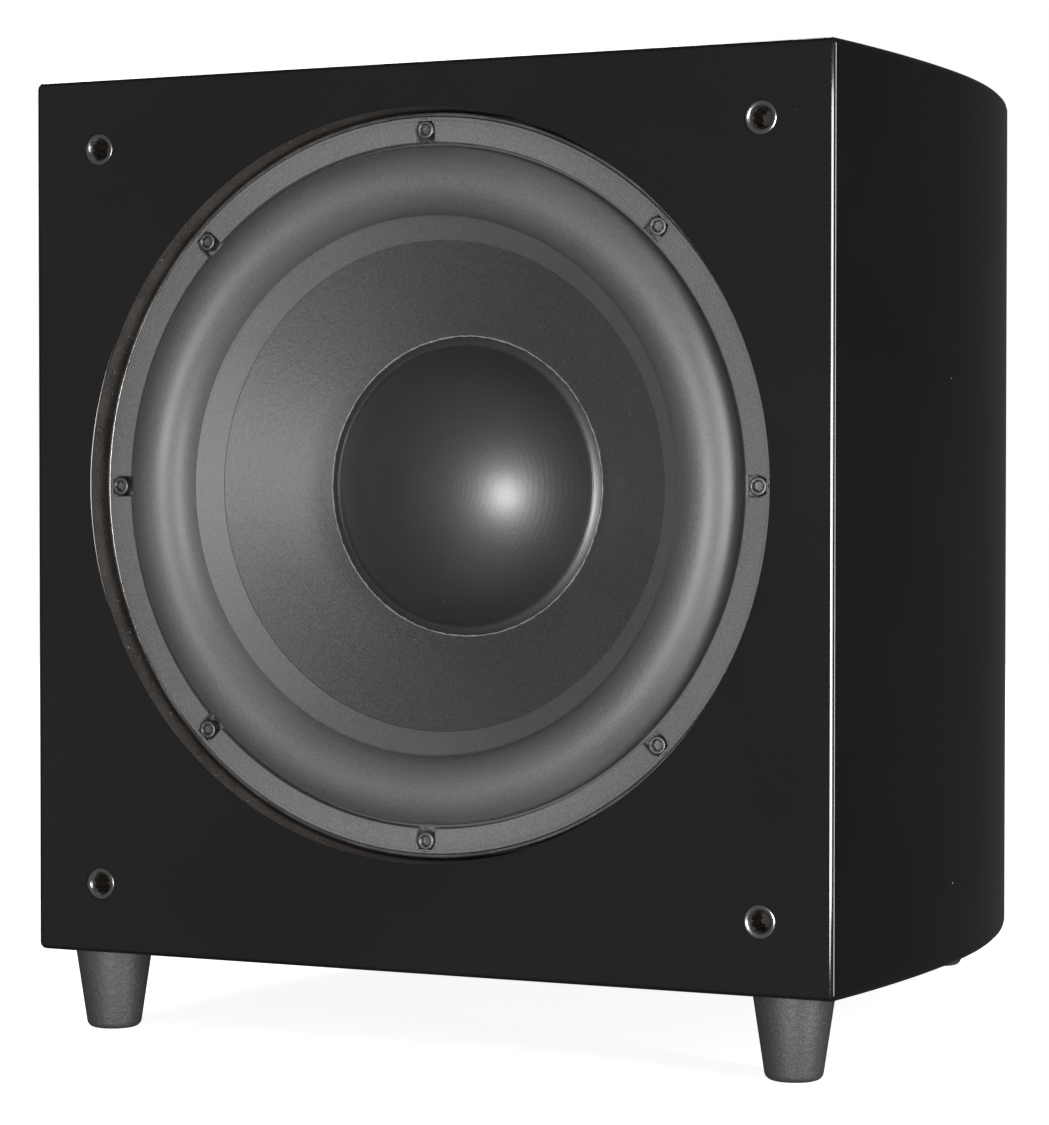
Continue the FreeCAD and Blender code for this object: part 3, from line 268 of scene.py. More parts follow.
def cutAway(piece, cutters, origin, axes):
    # takes the cutters' space out of the piece, and keeps only the result
    tools = []
    for number, grid in enumerate(cutters):
        tool = bpy.data.objects.new(f"cutter{number}", meshOf("cutter", [grid], origin, axes))
        bpy.context.scene.collection.objects.link(tool)
        change = piece.modifiers.new("cut", "BOOLEAN")
        change.operation, change.object, change.solver = "DIFFERENCE", tool, "EXACT"
        tools.append(tool)
    bpy.context.view_layer.update()
    seen = piece.evaluated_get(bpy.context.evaluated_depsgraph_get())
    result = bpy.data.meshes.new_from_object(seen)
    piece.modifiers.clear()
    old, piece.data = piece.data, result
    result.name = piece.name
    bpy.data.meshes.remove(old)
    for tool in tools:
        bpy.data.meshes.remove(tool.data)


# ---- finishes ----

def addNode(tree, kind, inputs=None, **settings):
    node = tree.nodes.new("ShaderNode" + kind)
    for name, setting in settings.items():
        setattr(node, name, setting)
    for name, given in (inputs or {}).items():
        if isinstance(given, bpy.types.NodeSocket):
            tree.links.new(given, node.inputs[name])
        else:
            node.inputs[name].default_value = given
    return node


def makeGroup(name, inputs, outputs):
    group = bpy.data.node_groups.new(name, "ShaderNodeTree")
    for label, given in inputs.items():
        socket = group.interface.new_socket(label, in_out="INPUT", socket_type="NodeSocketFloat")
        socket.default_value = given
    for label in outputs:
        group.interface.new_socket(label, in_out="OUTPUT", socket_type="NodeSocketFloat")
    return group, group.nodes.new("NodeGroupInput"), group.nodes.new("NodeGroupOutput")


def mathNode(tree, operation, first, second=0.0, third=0.0, clamp=False):
    inputs = {0: first, 1: second}
    if operation == "MULTIPLY_ADD":
        inputs[2] = third
    return addNode(tree, "Math", inputs, operation=operation, use_clamp=clamp).outputs[0]


def grainGroup():
    # moulded or sprayed grain: two noises, one at the given size and one a third of it
    group, given, result = makeGroup("surfaceGrain", {"Size mm": 0.5}, ["Height", "Fleck"])
    place = addNode(group, "TexCoord").outputs["Object"]
    scale = mathNode(group, "DIVIDE", 1000.0, given.outputs["Size mm"])
    coarse = addNode(group, "TexNoise", {"Vector": place, "Scale": scale, "Detail": 2.0})
    finer = mathNode(group, "MULTIPLY", scale, 3.1)
    fine = addNode(group, "TexNoise", {"Vector": place, "Scale": finer, "Detail": 1.0})
    both = mathNode(group, "MULTIPLY_ADD", fine.outputs["Fac"], 0.45, coarse.outputs["Fac"])
    group.links.new(both, result.inputs["Height"])
    fleck = addNode(group, "MapRange", {"Value": fine.outputs["Fac"], "From Min": 0.42, "From Max": 0.66})
    group.links.new(fleck.outputs["Result"], result.inputs["Fleck"])
    return group


def driftGroup():
    # slow change over the piece, as paint thickness and handling leave it
    group, given, result = makeGroup("slowDrift", {"Size mm": 60.0}, ["Drift"])
    place = addNode(group, "TexCoord").outputs["Object"]
    scale = mathNode(group, "DIVIDE", 1000.0, given.outputs["Size mm"])
    cloud = addNode(group, "TexNoise", {"Vector": place, "Scale": scale, "Detail": 3.0, "Roughness": 0.55})
    spread = addNode(group, "MapRange", {"Value": cloud.outputs["Fac"], "From Min": 0.3, "From Max": 0.7})
    group.links.new(spread.outputs["Result"], result.inputs["Drift"])
    return group


def edgeRubAndHighlightGroup():
    # rubbed edges and painted edge highlight: lighter where the surface is convex, broken up by a noise; on
    # the screw heads the lighter edge is a painted rim highlight
    group, given, result = makeGroup("edgeRubAndPaintedHighlight", {"Amount": 0.5}, ["Mask"])
    place = addNode(group, "TexCoord").outputs["Object"]
    bend = addNode(group, "NewGeometry").outputs["Pointiness"]
    edge = addNode(group, "MapRange", {"Value": bend, "From Min": 0.52, "From Max": 0.62})
    patches = addNode(group, "TexNoise", {"Vector": place, "Scale": 260.0, "Detail": 4.0})
    broken = addNode(group, "MapRange", {"Value": patches.outputs["Fac"], "From Min": 0.4, "From Max": 0.65})
    mask = mathNode(group, "MULTIPLY", edge.outputs["Result"], broken.outputs["Result"])
    mask = mathNode(group, "MULTIPLY", mask, given.outputs["Amount"], clamp=True)
    group.links.new(mask, result.inputs["Mask"])
    return group


def dustGroup():
    # scattered lint: a small disc round some of the points of a cell pattern
    group, given, result = makeGroup("dustSpecks", {"Spacing mm": 9.0, "Share": 0.2, "Radius": 0.02}, ["Mask"])
    place = addNode(group, "TexCoord").outputs["Object"]
    scale = mathNode(group, "DIVIDE", 1000.0, given.outputs["Spacing mm"])
    cells = addNode(group, "TexVoronoi", {"Vector": place, "Scale": scale})
    lot = addNode(group, "SeparateColor", {"Color": cells.outputs["Color"]})
    chosen = mathNode(group, "LESS_THAN", lot.outputs["Red"], given.outputs["Share"])
    size = mathNode(group, "MULTIPLY", lot.outputs["Green"], given.outputs["Radius"])
    near = mathNode(group, "LESS_THAN", cells.outputs["Distance"], size)
    group.links.new(mathNode(group, "MULTIPLY", chosen, near), result.inputs["Mask"])
    return group


def ringsGroup():
    # faint rings about the driver's axis, as a turned mould leaves them
    group, given, result = makeGroup("turnedRings", {"Spacing mm": 2.0}, ["Height"])
    axis = middle("dust_cap")
    place = addNode(group, "TexCoord").outputs["Object"]
    apart = addNode(group, "VectorMath", {0: place, 1: tuple(axis)}, operation="SUBTRACT").outputs[0]
    flat = addNode(group, "VectorMath", {0: apart, 1: (1, 0, 1)}, operation="MULTIPLY").outputs[0]
    radius = addNode(group, "VectorMath", {0: flat}, operation="LENGTH").outputs["Value"]
    wander = addNode(group, "TexNoise", {"Vector": place, "Scale": 60.0, "Detail": 1.0})
    radius = mathNode(group, "MULTIPLY_ADD", wander.outputs["Fac"], 0.0012, radius)
    turns = mathNode(group, "MULTIPLY", radius, 2000 * np.pi)
    turns = mathNode(group, "DIVIDE", turns, given.outputs["Spacing mm"])
    group.links.new(mathNode(group, "SINE", turns), result.inputs["Height"])
    return group


grain, drift, edgeRubAndHighlight, dust, rings = grainGroup(), driftGroup(), edgeRubAndHighlightGroup(), dustGroup(), ringsGroup()


def useGroup(tree, group, inputs):
    node = tree.nodes.new("ShaderNodeGroup")
    node.node_tree = group
    for name, given in inputs.items():
        node.inputs[name].default_value = given
    return node.outputs


def mixColour(tree, share, first, second):
    node = addNode(tree, "Mix", {0: share, 6: first, 7: second}, data_type="RGBA")
    return node.outputs[2]


def shade(colour, factor):
    return tuple(min(1.0, channel * factor) for channel in colour[:3]) + (1.0,)


def makeFinish(name, colour, roughness, metallic=0.0, grainSize=0.5, grainDepth=0.02, fleck=0.1,
               driftSize=70.0, colourDrift=0.12, roughDrift=0.06, rubAndHighlight=0.0, rubAndHighlightColour=(0.3, 0.3, 0.3),
               lint=0.0, lintSpacing=9.0, coat=0.0, coatRoughness=0.04, specular=0.5, wave=0.0, waveSize=9.0,
               sheen=0.0, ringDepth=0.0, ringSpacing=2.0, lintRadius=0.03):
    material = bpy.data.materials.new(name)
    material.use_nodes = True
    tree = material.node_tree
    shader = tree.nodes["Principled BSDF"]
    grains = useGroup(tree, grain, {"Size mm": grainSize})
    slow = useGroup(tree, drift, {"Size mm": driftSize})["Drift"]
    paint = mixColour(tree, slow, shade(colour, 1 - colourDrift), shade(colour, 1 + colourDrift))
    if fleck:
        share = mathNode(tree, "MULTIPLY", grains["Fleck"], fleck)
        paint = mixColour(tree, share, paint, shade(colour, 1.9))
    rough = mathNode(tree, "MULTIPLY_ADD", slow, 2 * roughDrift, roughness - roughDrift)
    rough = mathNode(tree, "MULTIPLY_ADD", grains["Fleck"], roughDrift, rough)
    # convex edges take a lighter colour: rubbed wear, and on the screw heads also a painted rim highlight
    if rubAndHighlight:
        mask = useGroup(tree, edgeRubAndHighlight, {"Amount": rubAndHighlight})["Mask"]
        paint = mixColour(tree, mask, paint, rubAndHighlightColour + (1.0,))
        rough = mathNode(tree, "MULTIPLY_ADD", mask, 0.12, rough)
    if lint:
        specks = useGroup(tree, dust, {"Spacing mm": lintSpacing, "Share": lint, "Radius": lintRadius})["Mask"]
        paint = mixColour(tree, specks, paint, (0.5, 0.49, 0.47, 1.0))
        rough = mathNode(tree, "MULTIPLY_ADD", specks, 0.5, rough, clamp=True)
    tree.links.new(paint, shader.inputs["Base Color"])
    tree.links.new(mathNode(tree, "MAXIMUM", rough, 0.02), shader.inputs["Roughness"])
    shader.inputs["Metallic"].default_value = metallic
    shader.inputs["Coat Weight"].default_value = coat
    shader.inputs["Coat Roughness"].default_value = coatRoughness
    shader.inputs["Specular IOR Level"].default_value = specular
    shader.inputs["Sheen Weight"].default_value = sheen
    bump = addNode(tree, "Bump", {"Height": grains["Height"], "Distance": grainDepth * mm, "Strength": 1.0})
    if wave:
        place = addNode(tree, "TexCoord").outputs["Object"]
        ripple = addNode(tree, "TexNoise", {"Vector": place, "Scale": 1000.0 / waveSize, "Detail": 1.0})
        bump = addNode(tree, "Bump", {"Height": ripple.outputs["Fac"], "Distance": wave * mm, "Strength": 1.0,
                                      "Normal": bump.outputs["Normal"]})
    if ringDepth:
        turns = useGroup(tree, rings, {"Spacing mm": ringSpacing})["Height"]
        bump = addNode(tree, "Bump", {"Height": turns, "Distance": ringDepth * mm, "Strength": 1.0,
                                      "Normal": bump.outputs["Normal"]})
    tree.links.new(bump.outputs["Normal"], shader.inputs["Normal"])
    return material


greys = {
    "lacquer": (0.0065, 0.0065, 0.007), "footRubber": (0.037, 0.037, 0.038),
    "gasketRubber": (0.15, 0.15, 0.15),
    "rollRubber": (0.086, 0.086, 0.089), "conePoly": (0.041, 0.040, 0.0375), "capPoly": (0.011, 0.0105, 0.010),
}
finishes = {
    "cabinet_lacquer": makeFinish("pianoLacquer", greys["lacquer"], 0.05, grainSize=2.0, grainDepth=0.0004,
                                  fleck=0.0, colourDrift=0.25, roughDrift=0.012, driftSize=120, rubAndHighlight=0.25,
                                  rubAndHighlightColour=(0.03, 0.03, 0.03), lint=0.45, lintSpacing=14, lintRadius=0.035,
                                  wave=0.0012, waveSize=14),
    "raw_mdf": makeFinish("rawFibreboard", (0.32, 0.22, 0.13), 0.85, grainSize=0.8, grainDepth=0.06,
                          fleck=0.3),
    "wadding": makeFinish("wadding", (0.55, 0.55, 0.53), 0.95, grainSize=2.5, grainDepth=0.9, fleck=0.4,
                          sheen=0.4),
    "foot_rubber": makeFinish("footRubber", greys["footRubber"], 0.5, specular=1.0, grainSize=2.2,
                              grainDepth=0.22, fleck=0.9, colourDrift=0.2, rubAndHighlight=0.35,
                              rubAndHighlightColour=(0.16, 0.16, 0.16)),
    # the screws' lighter convex edges are a painted rim highlight as well as rubbed wear
    "black_steel": makeFinish("blackOxideSteel", (0.2, 0.2, 0.205), 0.44, metallic=1.0, grainSize=0.25,
                              grainDepth=0.006, fleck=0.2, rubAndHighlight=0.9, rubAndHighlightColour=(0.5, 0.5, 0.5)),
    "zinc_steel": makeFinish("zincSteel", (0.55, 0.55, 0.54), 0.32, metallic=1.0, grainSize=0.3,
                             grainDepth=0.006),
    "socket_plastic": makeFinish("socketPlastic", (0.03, 0.03, 0.031), 0.2, specular=1.0, coat=0.6,
                                 coatRoughness=0.1, grainSize=0.3, grainDepth=0.004, rubAndHighlight=0.6,
                                 rubAndHighlightColour=(0.14, 0.14, 0.14)),
    "basket_paint": makeFinish("basketPaint", (0.03, 0.03, 0.031), 0.42, grainSize=0.45, grainDepth=0.02,
                               rubAndHighlight=0.8, rubAndHighlightColour=(0.3, 0.3, 0.3)),
    "gasket_rubber": makeFinish("gasketRubber", greys["gasketRubber"], 0.68, grainSize=2.0, grainDepth=0.1,
                                fleck=0.45, colourDrift=0.1, lint=0.3, lintSpacing=6, lintRadius=0.05),
    "seal_foam": makeFinish("sealFoam", (0.035, 0.035, 0.035), 0.95, grainSize=0.7, grainDepth=0.2, fleck=0.3),
    "roll_rubber": makeFinish("rollRubber", greys["rollRubber"], 0.52, grainSize=2.0, grainDepth=0.08,
                              fleck=0.45, colourDrift=0.09, lint=0.2, lintSpacing=7, specular=1.0, coat=0.4,
                              coatRoughness=0.45),
    "cone_poly": makeFinish("conePolypropylene", greys["conePoly"], 0.42, specular=0.8, grainSize=2.1,
                            grainDepth=0.14, fleck=0.9, colourDrift=0.1, lint=0.25, lintSpacing=6,
                            lintRadius=0.04, coat=1.0, coatRoughness=0.44),
    "cap_poly": makeFinish("capPolypropylene", greys["capPoly"], 0.42, specular=1.0, grainSize=1.5,
                           grainDepth=0.05, fleck=0.4, colourDrift=0.1, wave=0.004, waveSize=11, lint=0.2,
                           lintSpacing=7, coat=0.9, coatRoughness=0.3, ringDepth=0.006, ringSpacing=2.2),
    "former_foil": makeFinish("formerFoil", (0.75, 0.75, 0.76), 0.25, metallic=1.0, grainDepth=0.01),
    "coil_copper": makeFinish("coilCopper", (0.72, 0.35, 0.18), 0.35, metallic=1.0, grainSize=0.3,
                              grainDepth=0.05),
    "spider_cloth": makeFinish("spiderCloth", (0.62, 0.48, 0.27), 0.9, grainSize=0.9, grainDepth=0.15,
                               fleck=0.4),
    "motor_steel": makeFinish("motorSteel", (0.3, 0.3, 0.31), 0.36, metallic=1.0, grainSize=0.4,
                              grainDepth=0.01),
    "ferrite": makeFinish("ferrite", (0.07, 0.07, 0.072), 0.7, grainSize=0.5, grainDepth=0.05, fleck=0.3),
    "lead_pvc": makeFinish("leadCover", (0.02, 0.02, 0.02), 0.45, grainSize=0.4, grainDepth=0.01),
    "amp_paint": makeFinish("texturedPowderPaint", (0.022, 0.022, 0.023), 0.52, grainSize=0.9,
                            grainDepth=0.08, driftSize=22, colourDrift=0.06, roughDrift=0.02, fleck=0.12,
                            rubAndHighlight=0.5, rubAndHighlightColour=(0.2, 0.2, 0.2), lint=0.1),
    "sink_black": makeFinish("blackAnodised", (0.035, 0.035, 0.038), 0.4, metallic=0.6, grainSize=0.5,
                             grainDepth=0.01, rubAndHighlight=0.6, rubAndHighlightColour=(0.35, 0.35, 0.35)),
    "board_green": makeFinish("circuitBoard", (0.03, 0.16, 0.07), 0.5, grainSize=1.5, grainDepth=0.01),
    "transformer_wrap": makeFinish("transformerTape", (0.55, 0.38, 0.05), 0.4, grainSize=3.0, grainDepth=0.15),
    "capacitor_sleeve": makeFinish("capacitorSleeve", (0.02, 0.03, 0.08), 0.25, grainSize=1.0,
                                   grainDepth=0.01),
    "knob_plastic": makeFinish("knobPlastic", (0.025, 0.025, 0.026), 0.45, grainSize=0.3, grainDepth=0.012,
                               rubAndHighlight=0.5, rubAndHighlightColour=(0.12, 0.12, 0.12), lint=0.1, lintSpacing=5),
    "switch_chrome": makeFinish("switchNickel", (0.78, 0.77, 0.75), 0.14, metallic=1.0, grainSize=0.4,
                                grainDepth=0.002, roughDrift=0.03),
    "jack_metal": makeFinish("goldFlash", (0.78, 0.6, 0.28), 0.22, metallic=1.0, grainSize=0.3,
                             grainDepth=0.003, roughDrift=0.04),
    "jack_plastic": makeFinish("jackNylon", (0.035, 0.035, 0.036), 0.5, grainSize=0.3, grainDepth=0.008),
    "post_red": makeFinish("postRed", (0.42, 0.012, 0.014), 0.22, grainSize=0.4, grainDepth=0.003, coat=0.4,
                           rubAndHighlight=0.2, rubAndHighlightColour=(0.5, 0.1, 0.1)),
    "post_black": makeFinish("postBlack", (0.015, 0.015, 0.016), 0.24, grainSize=0.4, grainDepth=0.003,
                             coat=0.4, rubAndHighlight=0.3, rubAndHighlightColour=(0.12, 0.12, 0.12)),
    "inlet_plastic": makeFinish("inletNylon", (0.02, 0.02, 0.02), 0.42, grainSize=0.35, grainDepth=0.012,
                                rubAndHighlight=0.3, rubAndHighlightColour=(0.1, 0.1, 0.1)),
    "pin_nickel": makeFinish("pinNickel", (0.7, 0.69, 0.66), 0.2, metallic=1.0, grainSize=0.3,
                             grainDepth=0.002),
    "rocker_plastic": makeFinish("rockerPlastic", (0.018, 0.018, 0.018), 0.26, grainSize=0.4,
                                 grainDepth=0.004),
    "lens_green": makeFinish("greenLens", (0.03, 0.3, 0.06), 0.18, grainSize=0.5, grainDepth=0.002, coat=0.8),
}
printedWhite = makeFinish("printedWhite", (0.62, 0.62, 0.6), 0.55, grainSize=0.25, grainDepth=0.006,
                          fleck=0.15)
ringRed = makeFinish("jackRed", (0.5, 0.02, 0.02), 0.4, grainSize=0.3, grainDepth=0.006)
ringWhite = makeFinish("jackWhite", (0.7, 0.7, 0.68), 0.4, grainSize=0.3, grainDepth=0.006)
glueClear = makeFinish("glueBead", (0.26, 0.26, 0.25), 0.2, grainSize=0.8, grainDepth=0.05, fleck=0.5)
rebateSpray = makeFinish("rebateSpray", (0.04, 0.034, 0.03), 0.75, specular=0.25, grainSize=3.2,
                         grainDepth=0.2, fleck=1.0, driftSize=16, colourDrift=0.6, lint=0.5, lintSpacing=3,
                         lintRadius=0.14)
boreDull = makeFinish("socketBore", (0.032, 0.026, 0.022), 0.5, specular=0.12, grainSize=0.6, grainDepth=0.02,
                      fleck=0.5)
flangeWorn = makeFinish("flangeEdge", (0.16, 0.155, 0.15), 0.24, metallic=0.8, grainSize=0.5, grainDepth=0.02,
                        fleck=0.4, driftSize=18, colourDrift=0.3)

for entry in frame["record"]["subparts"]:
    shown = frame["nodes"][entry["node"]]
    shown.data.materials.clear()
    shown.data.materials.append(finishes[entry["material_slot"]])
print("subwoofer: finishes made,", len(bpy.data.materials))

# ---- cabinet ----

cabinetShape = {
    "bowBehindFront": 130, "frontArc": 858, "rearArc": 480, "edgeRound": 3, "backRound": 8,
    "wall": 18, "baffle": 36, "rebateRadius": 160.3, "rebateDepth": 20.3, "cutoutRadius": 147,
    "arris": 0.55, "sinkRadius": 7.05, "cupRadius": 5.35, "sinkDepth": 1.7, "cupDepth": 16.4,
    "socketLevel": 162.6,
    "ampOpening": (184, 280),
}
cabinetLow = np.min([corners(name)[0] for name in ("front_baffle", "left_side_panel", "bottom_panel")], 0)
cabinetHigh = np.max([corners(name)[1] for name in ("back_panel", "right_side_panel", "top_panel")], 0)
driverMiddle = middle("front_gasket")
driverFront = np.array([driverMiddle[0], corners("front_gasket")[0][1], driverMiddle[2]])
sockets = [(side * (corners("grille_sockets")[1][0] / mm - 5.33), level * cabinetShape["socketLevel"])
           for side in (-1, 1) for level in (-1, 1)]


def planOutline(inset, frontInset):
    # the cabinet's plan: a straight front, two arcs down each side that meet at the widest point, a straight
    # back
    shape = cabinetShape
    depth = (cabinetHigh[1] - cabinetLow[1]) / mm
    half = cabinetHigh[0] / mm
    bow = shape["bowBehindFront"]
    ahead = np.linspace(frontInset, bow, 22, endpoint=False)
    behind = np.linspace(bow, depth - inset, 44)
    x = half - inset - shape["frontArc"] + np.sqrt(shape["frontArc"] ** 2 - (bow - ahead) ** 2)
    x = np.append(x, half - inset - shape["rearArc"] + np.sqrt(shape["rearArc"] ** 2 - (behind - bow) ** 2))
    y = np.append(ahead, behind)
    side = [(px, py, 0) for px, py in zip(x, y)]
    side[0] = side[0][:2] + (shape["edgeRound"],)
    side[-1] = side[-1][:2] + (shape["backRound"] - (4 if inset else 0),)
    outline = side + [(-px, py, bend) for px, py, bend in side[::-1]]
    return softLine(outline, 8, closed=True)


def makeCabinet():
    shape = cabinetShape
    height = (cabinetHigh[2] - cabinetLow[2]) / mm
    shell = block(planOutline(0, 0), 0, height, shape["edgeRound"], bothEdges=True)
    wall = shape["wall"]
    hollow = block(planOutline(wall, shape["baffle"]), wall, height - wall, 1, bothEdges=True)
    floor = np.array([0, cabinetLow[1], cabinetLow[2]])
    toFront = (driverFront - floor) / mm
    arris = np.linspace(0, np.pi / 2, 5)
    lip = [(shape["rebateRadius"] + shape["arris"] * (1 - np.cos(a)), -shape["arris"] * (1 - np.sin(a)))
           for a in arris]
    bore = [(0, -45), (shape["cutoutRadius"], -45), (shape["cutoutRadius"], -shape["rebateDepth"]),
            (shape["rebateRadius"], -shape["rebateDepth"]), *lip, (lip[-1][0], 6), (0, 6)]
    mouth = shifted(turned(bore, 288) @ frontAxes, toFront[0], 0, toFront[2])
    rim = shape["sinkRadius"]
    sink = softLine([(0, -shape["cupDepth"]), (shape["cupRadius"], -shape["cupDepth"]),
                     (shape["cupRadius"], -shape["sinkDepth"]), (rim, -shape["sinkDepth"]), (rim, 2), (0, 2)])
    sinks = [shifted(turned(sink, 64) @ frontAxes, x, 0, height / 2 + z) for x, z in sockets]
    opening = block(softRectangle(*shape["ampOpening"], 4), -25, 10, 0.2) @ rearAxes
    opening = shifted(opening, 0, (cabinetHigh[1] - cabinetLow[1]) / mm, height / 2)
    panels = ("front_baffle", "top_panel", "bottom_panel", "left_side_panel", "right_side_panel", "back_panel")
    piece = makePiece("cabinetShell", [shell], floor, upAxes, finishes["cabinet_lacquer"], "cabinet",
                      "cabinet_lacquer", panels, crease=35, weighted=True,
                      cutters=[hollow, mouth, opening, *sinks])
    # the recess behind the lacquered arris is only sprayed with a thin matt coat
    toAxis = (faceCentres(piece) - driverFront) / mm
    radius = np.hypot(toAxis[:, 0], toAxis[:, 2])
    inside = (radius > 100) & (radius < shape["rebateRadius"] + 0.2) & (abs(toAxis[:, 1]) < 9.3)
    return secondFinish(piece, rebateSpray, inside)


def faceCentres(piece):
    centres = np.empty(len(piece.data.polygons) * 3, np.float32)
    piece.data.polygons.foreach_get("center", centres)
    return centres.reshape(-1, 3)


def secondFinish(piece, finish, chosen):
    piece.data.materials.append(finish)
    piece.data.polygons.foreach_set("material_index", chosen.astype(np.int32))
    return piece


def makeGrilleSockets():
    # press-in cups: a rounded rim, then a bore whose radius waves in and out between ribs
    ribs = 8
    profile = softLine([(5.33, -16.4), (5.33, -1.65), (6.95, -1.65), (6.95, -0.3, 0.3), (6.2, -0.06, 0.9),
                        (5.1, -0.3, 0.5), (4.5, -1.2, 0.6), (4.15, -2.1)], 6)
    rows = plain(profile)
    rows += [(4.15, -2.4, 1), (4.15, -12.6, 1), (3.9, -13.4, 1), (0, -13.6)]
    ripple = lambda turn: 1 + 0.19 * (1 - np.clip(2.2 * np.cos(ribs * turn) - 0.7, 0, 1)) - 0.1
    height = (cabinetHigh[2] + cabinetLow[2]) / 2
    cups = [shifted(turned([(0, -16.4)] + rows, 128, ripple), x, z, 0) for x, z in sockets]
    piece = makePiece("grilleSockets", cups, (0, cabinetLow[1], height), frontAxes, finishes["socket_plastic"],
                      "cabinet", "socket_plastic", ["grille_sockets"])
    # down in the bore the plastic is dull
    deep = (faceCentres(piece)[:, 1] - cabinetLow[1]) / mm > 1.3
    return secondFinish(piece, boreDull, deep)


footShape = {"tall": 36, "top": 17.2, "toe": 11.8, "toeRound": 3.4, "screwHole": 2.6, "recess": 4.6,
             "shelf": 24}


def makeFeet():
    # a turned taper with a round toe and a recess for its screw
    shape = footShape
    hole, recess, tall, shelf = shape["screwHole"], shape["recess"], shape["tall"], shape["shelf"]
    profile = softLine([(hole, tall), (shape["top"], tall, 0.6), (shape["toe"], 0, shape["toeRound"]),
                        (recess + 0.3, 0, 0.4), (recess, 1), (recess, shelf), (hole, shelf), (hole, tall)], 7)
    for name in ("foot_front_left", "foot_front_right", "foot_rear_left", "foot_rear_right"):
        place = middle(name)
        makePiece(name.replace("foot_", "taperedFoot_"), [turned(profile, 128)], (place[0], place[1], 0),
                  upAxes, finishes["foot_rubber"], "cabinet", "foot_rubber", [name])


makeCabinet()
makeGrilleSockets()
makeFeet()
print("subwoofer: cabinet, sockets and feet made")

# ---- driver ----

driverShape = {
    "gasket": 156.9, "gasketHole": 146.2, "gasketThick": 4.5, "boltCircle": 151.5, "notch": 4.35, "bolts": 8,
    "rollOuter": 144.5, "rollInner": 115.5, "rollBend": 14.7, "rollFoot": 4.7, "landInner": 105.5,
    "landTop": 11.9,
    "coneEdge": 117, "coneSlope": 0.645, "coneThick": 1.9, "neck": 31.8,
    "rimInner": 157.15, "rimOuter": 158.79, "rimLip": -0.5, "hollowOuter": 142.8, "hollowInner": 117.5,
    "cap": 65.3, "capDepth": 39.2, "capRim": 4.2, "capBend": 89.5, "capTop": 14,
}

spiderShape = {
    "neck": 31.9, "inner": 34.8, "outer": 85, "rim": 96, "level": -74, "thick": 0.9, "wave": 2.3, "rings": 12,
}
leadShape = {
    "radius": 0.9, "apart": 8, "step": 0.5, "sides": 16, "twist": 3.0, "still": 78, "moving": 43.5,
    "path": [(-97.2, -85.5), (-104.5, -85.5, 3), (-104.5, -72, 5), (-101, -58, 10), (-92, -47, 8),
             (-81, -43, 12), (-71, -40)],
}


def coneHeight(radius, deeper=0.0):
    return -(driverShape["capDepth"] + (driverShape["cap"] - radius) * driverShape["coneSlope"] + deeper)


def makeGasket():
    # a flat ring whose inner edge runs round each screw in a round-ended notch
    shape = driverShape
    ring, hole, half = shape["boltCircle"], shape["gasketHole"], shape["notch"]
    start = np.sqrt(hole ** 2 - (half + 0.8) ** 2)
    notch = softLine([(start, -half - 0.8), (hole + 0.1, -half, 0.7), (ring, -half)], 5)
    notch = np.vstack([notch, arcPoints((ring, -half), (ring + half, 0), half, 9)[1:]])
    notch = np.vstack([notch, (notch * [1, -1])[-2::-1]])
    spread = np.arctan2(notch[-1][1], notch[-1][0])
    between = np.linspace(spread, 2 * np.pi / shape["bolts"] - spread, 30)[1:-1]
    stretch = np.vstack([notch, hole * np.stack([np.cos(between), np.sin(between)], 1)])
    steps = ringTurn(shape["bolts"])
    inner = np.vstack([stretch @ np.array([[np.cos(a), np.sin(a)], [-np.sin(a), np.cos(a)]]) for a in steps])
    polar = np.arctan2(inner[:, 1], inner[:, 0])
    outer = shape["gasket"] * np.stack([np.cos(polar), np.sin(polar)], 1)
    rim = softEdge(0, 0.45)
    under = [(0, -shape["gasketThick"])]
    bead = softLine([(0.45, 0), (0.95, 0, 0.12), (1.1, -0.15, 0.05), (1.5, -0.15, 0.05), (1.7, 0, 0.12),
                     (2.1, 0)], 4)
    inside = stacked(inner, np.vstack([under, rim]) * [-1, 1])
    outside = stacked(outer, np.vstack([under, rim, bead[1:]]))
    grid = np.concatenate([inside, outside[::-1], inside[:1]])
    return makePiece("gasketRing", [grid], driverFront, frontAxes, finishes["gasket_rubber"], "cabinet",
                     "gasket_rubber", ["front_gasket"])


def makeFlangeRim():
    # bent edge of the pressed frame that shows round the gasket
    inner, outer, lip = driverShape["rimInner"], driverShape["rimOuter"], driverShape["rimLip"]
    low = -driverShape["gasketThick"]
    profile = softLine([(150, low - 2.4), (outer, low - 2.4), (outer, lip, 0.6), (inner, lip, 0.35),
                        (inner, low), (150, low), (150, low - 2.4)], 6)
    return makePiece("flangeRim", [turned(profile, 256)], driverFront, frontAxes, flangeWorn, "cabinet",
                     "basket_paint", crease=50)


def hexagon(turn):
    return 1 / np.cos((turn + np.pi / 6) % (np.pi / 3) - np.pi / 6)


def makeDriverScrews():
    # socket-head screws: a round head whose middle rows change from a circle to a hexagon
    head = softLine([(2.4, -32.5), (2.4, -4.5), (3.96, -4.5), (3.96, 0.33, 0.75), (2.9, 0.33)], 6)
    rows = [(0, -32.5)] + plain(head)
    rows += [(2.62, 0.3), (2.35, 0.05, 0.3), (1.985, -0.25, 1), (1.985, -2.4, 1), (1.2, -2.45, 0.5),
             (0, -2.45)]
    ring = driverShape["boltCircle"]
    screws = []
    for number, angle in enumerate(ringTurn(driverShape["bolts"])):
        start = 0.35 * number    # each socket stopped at its own angle
        shape = lambda turn, start=start: hexagon(turn + start)
        screws.append(shifted(turned(rows, 96, shape), ring * np.cos(angle), ring * np.sin(angle), 0))
    return makePiece("driverScrews", screws, driverFront, frontAxes, finishes["black_steel"], "cabinet",
                     "black_steel", ["driver_screws"], crease=38)


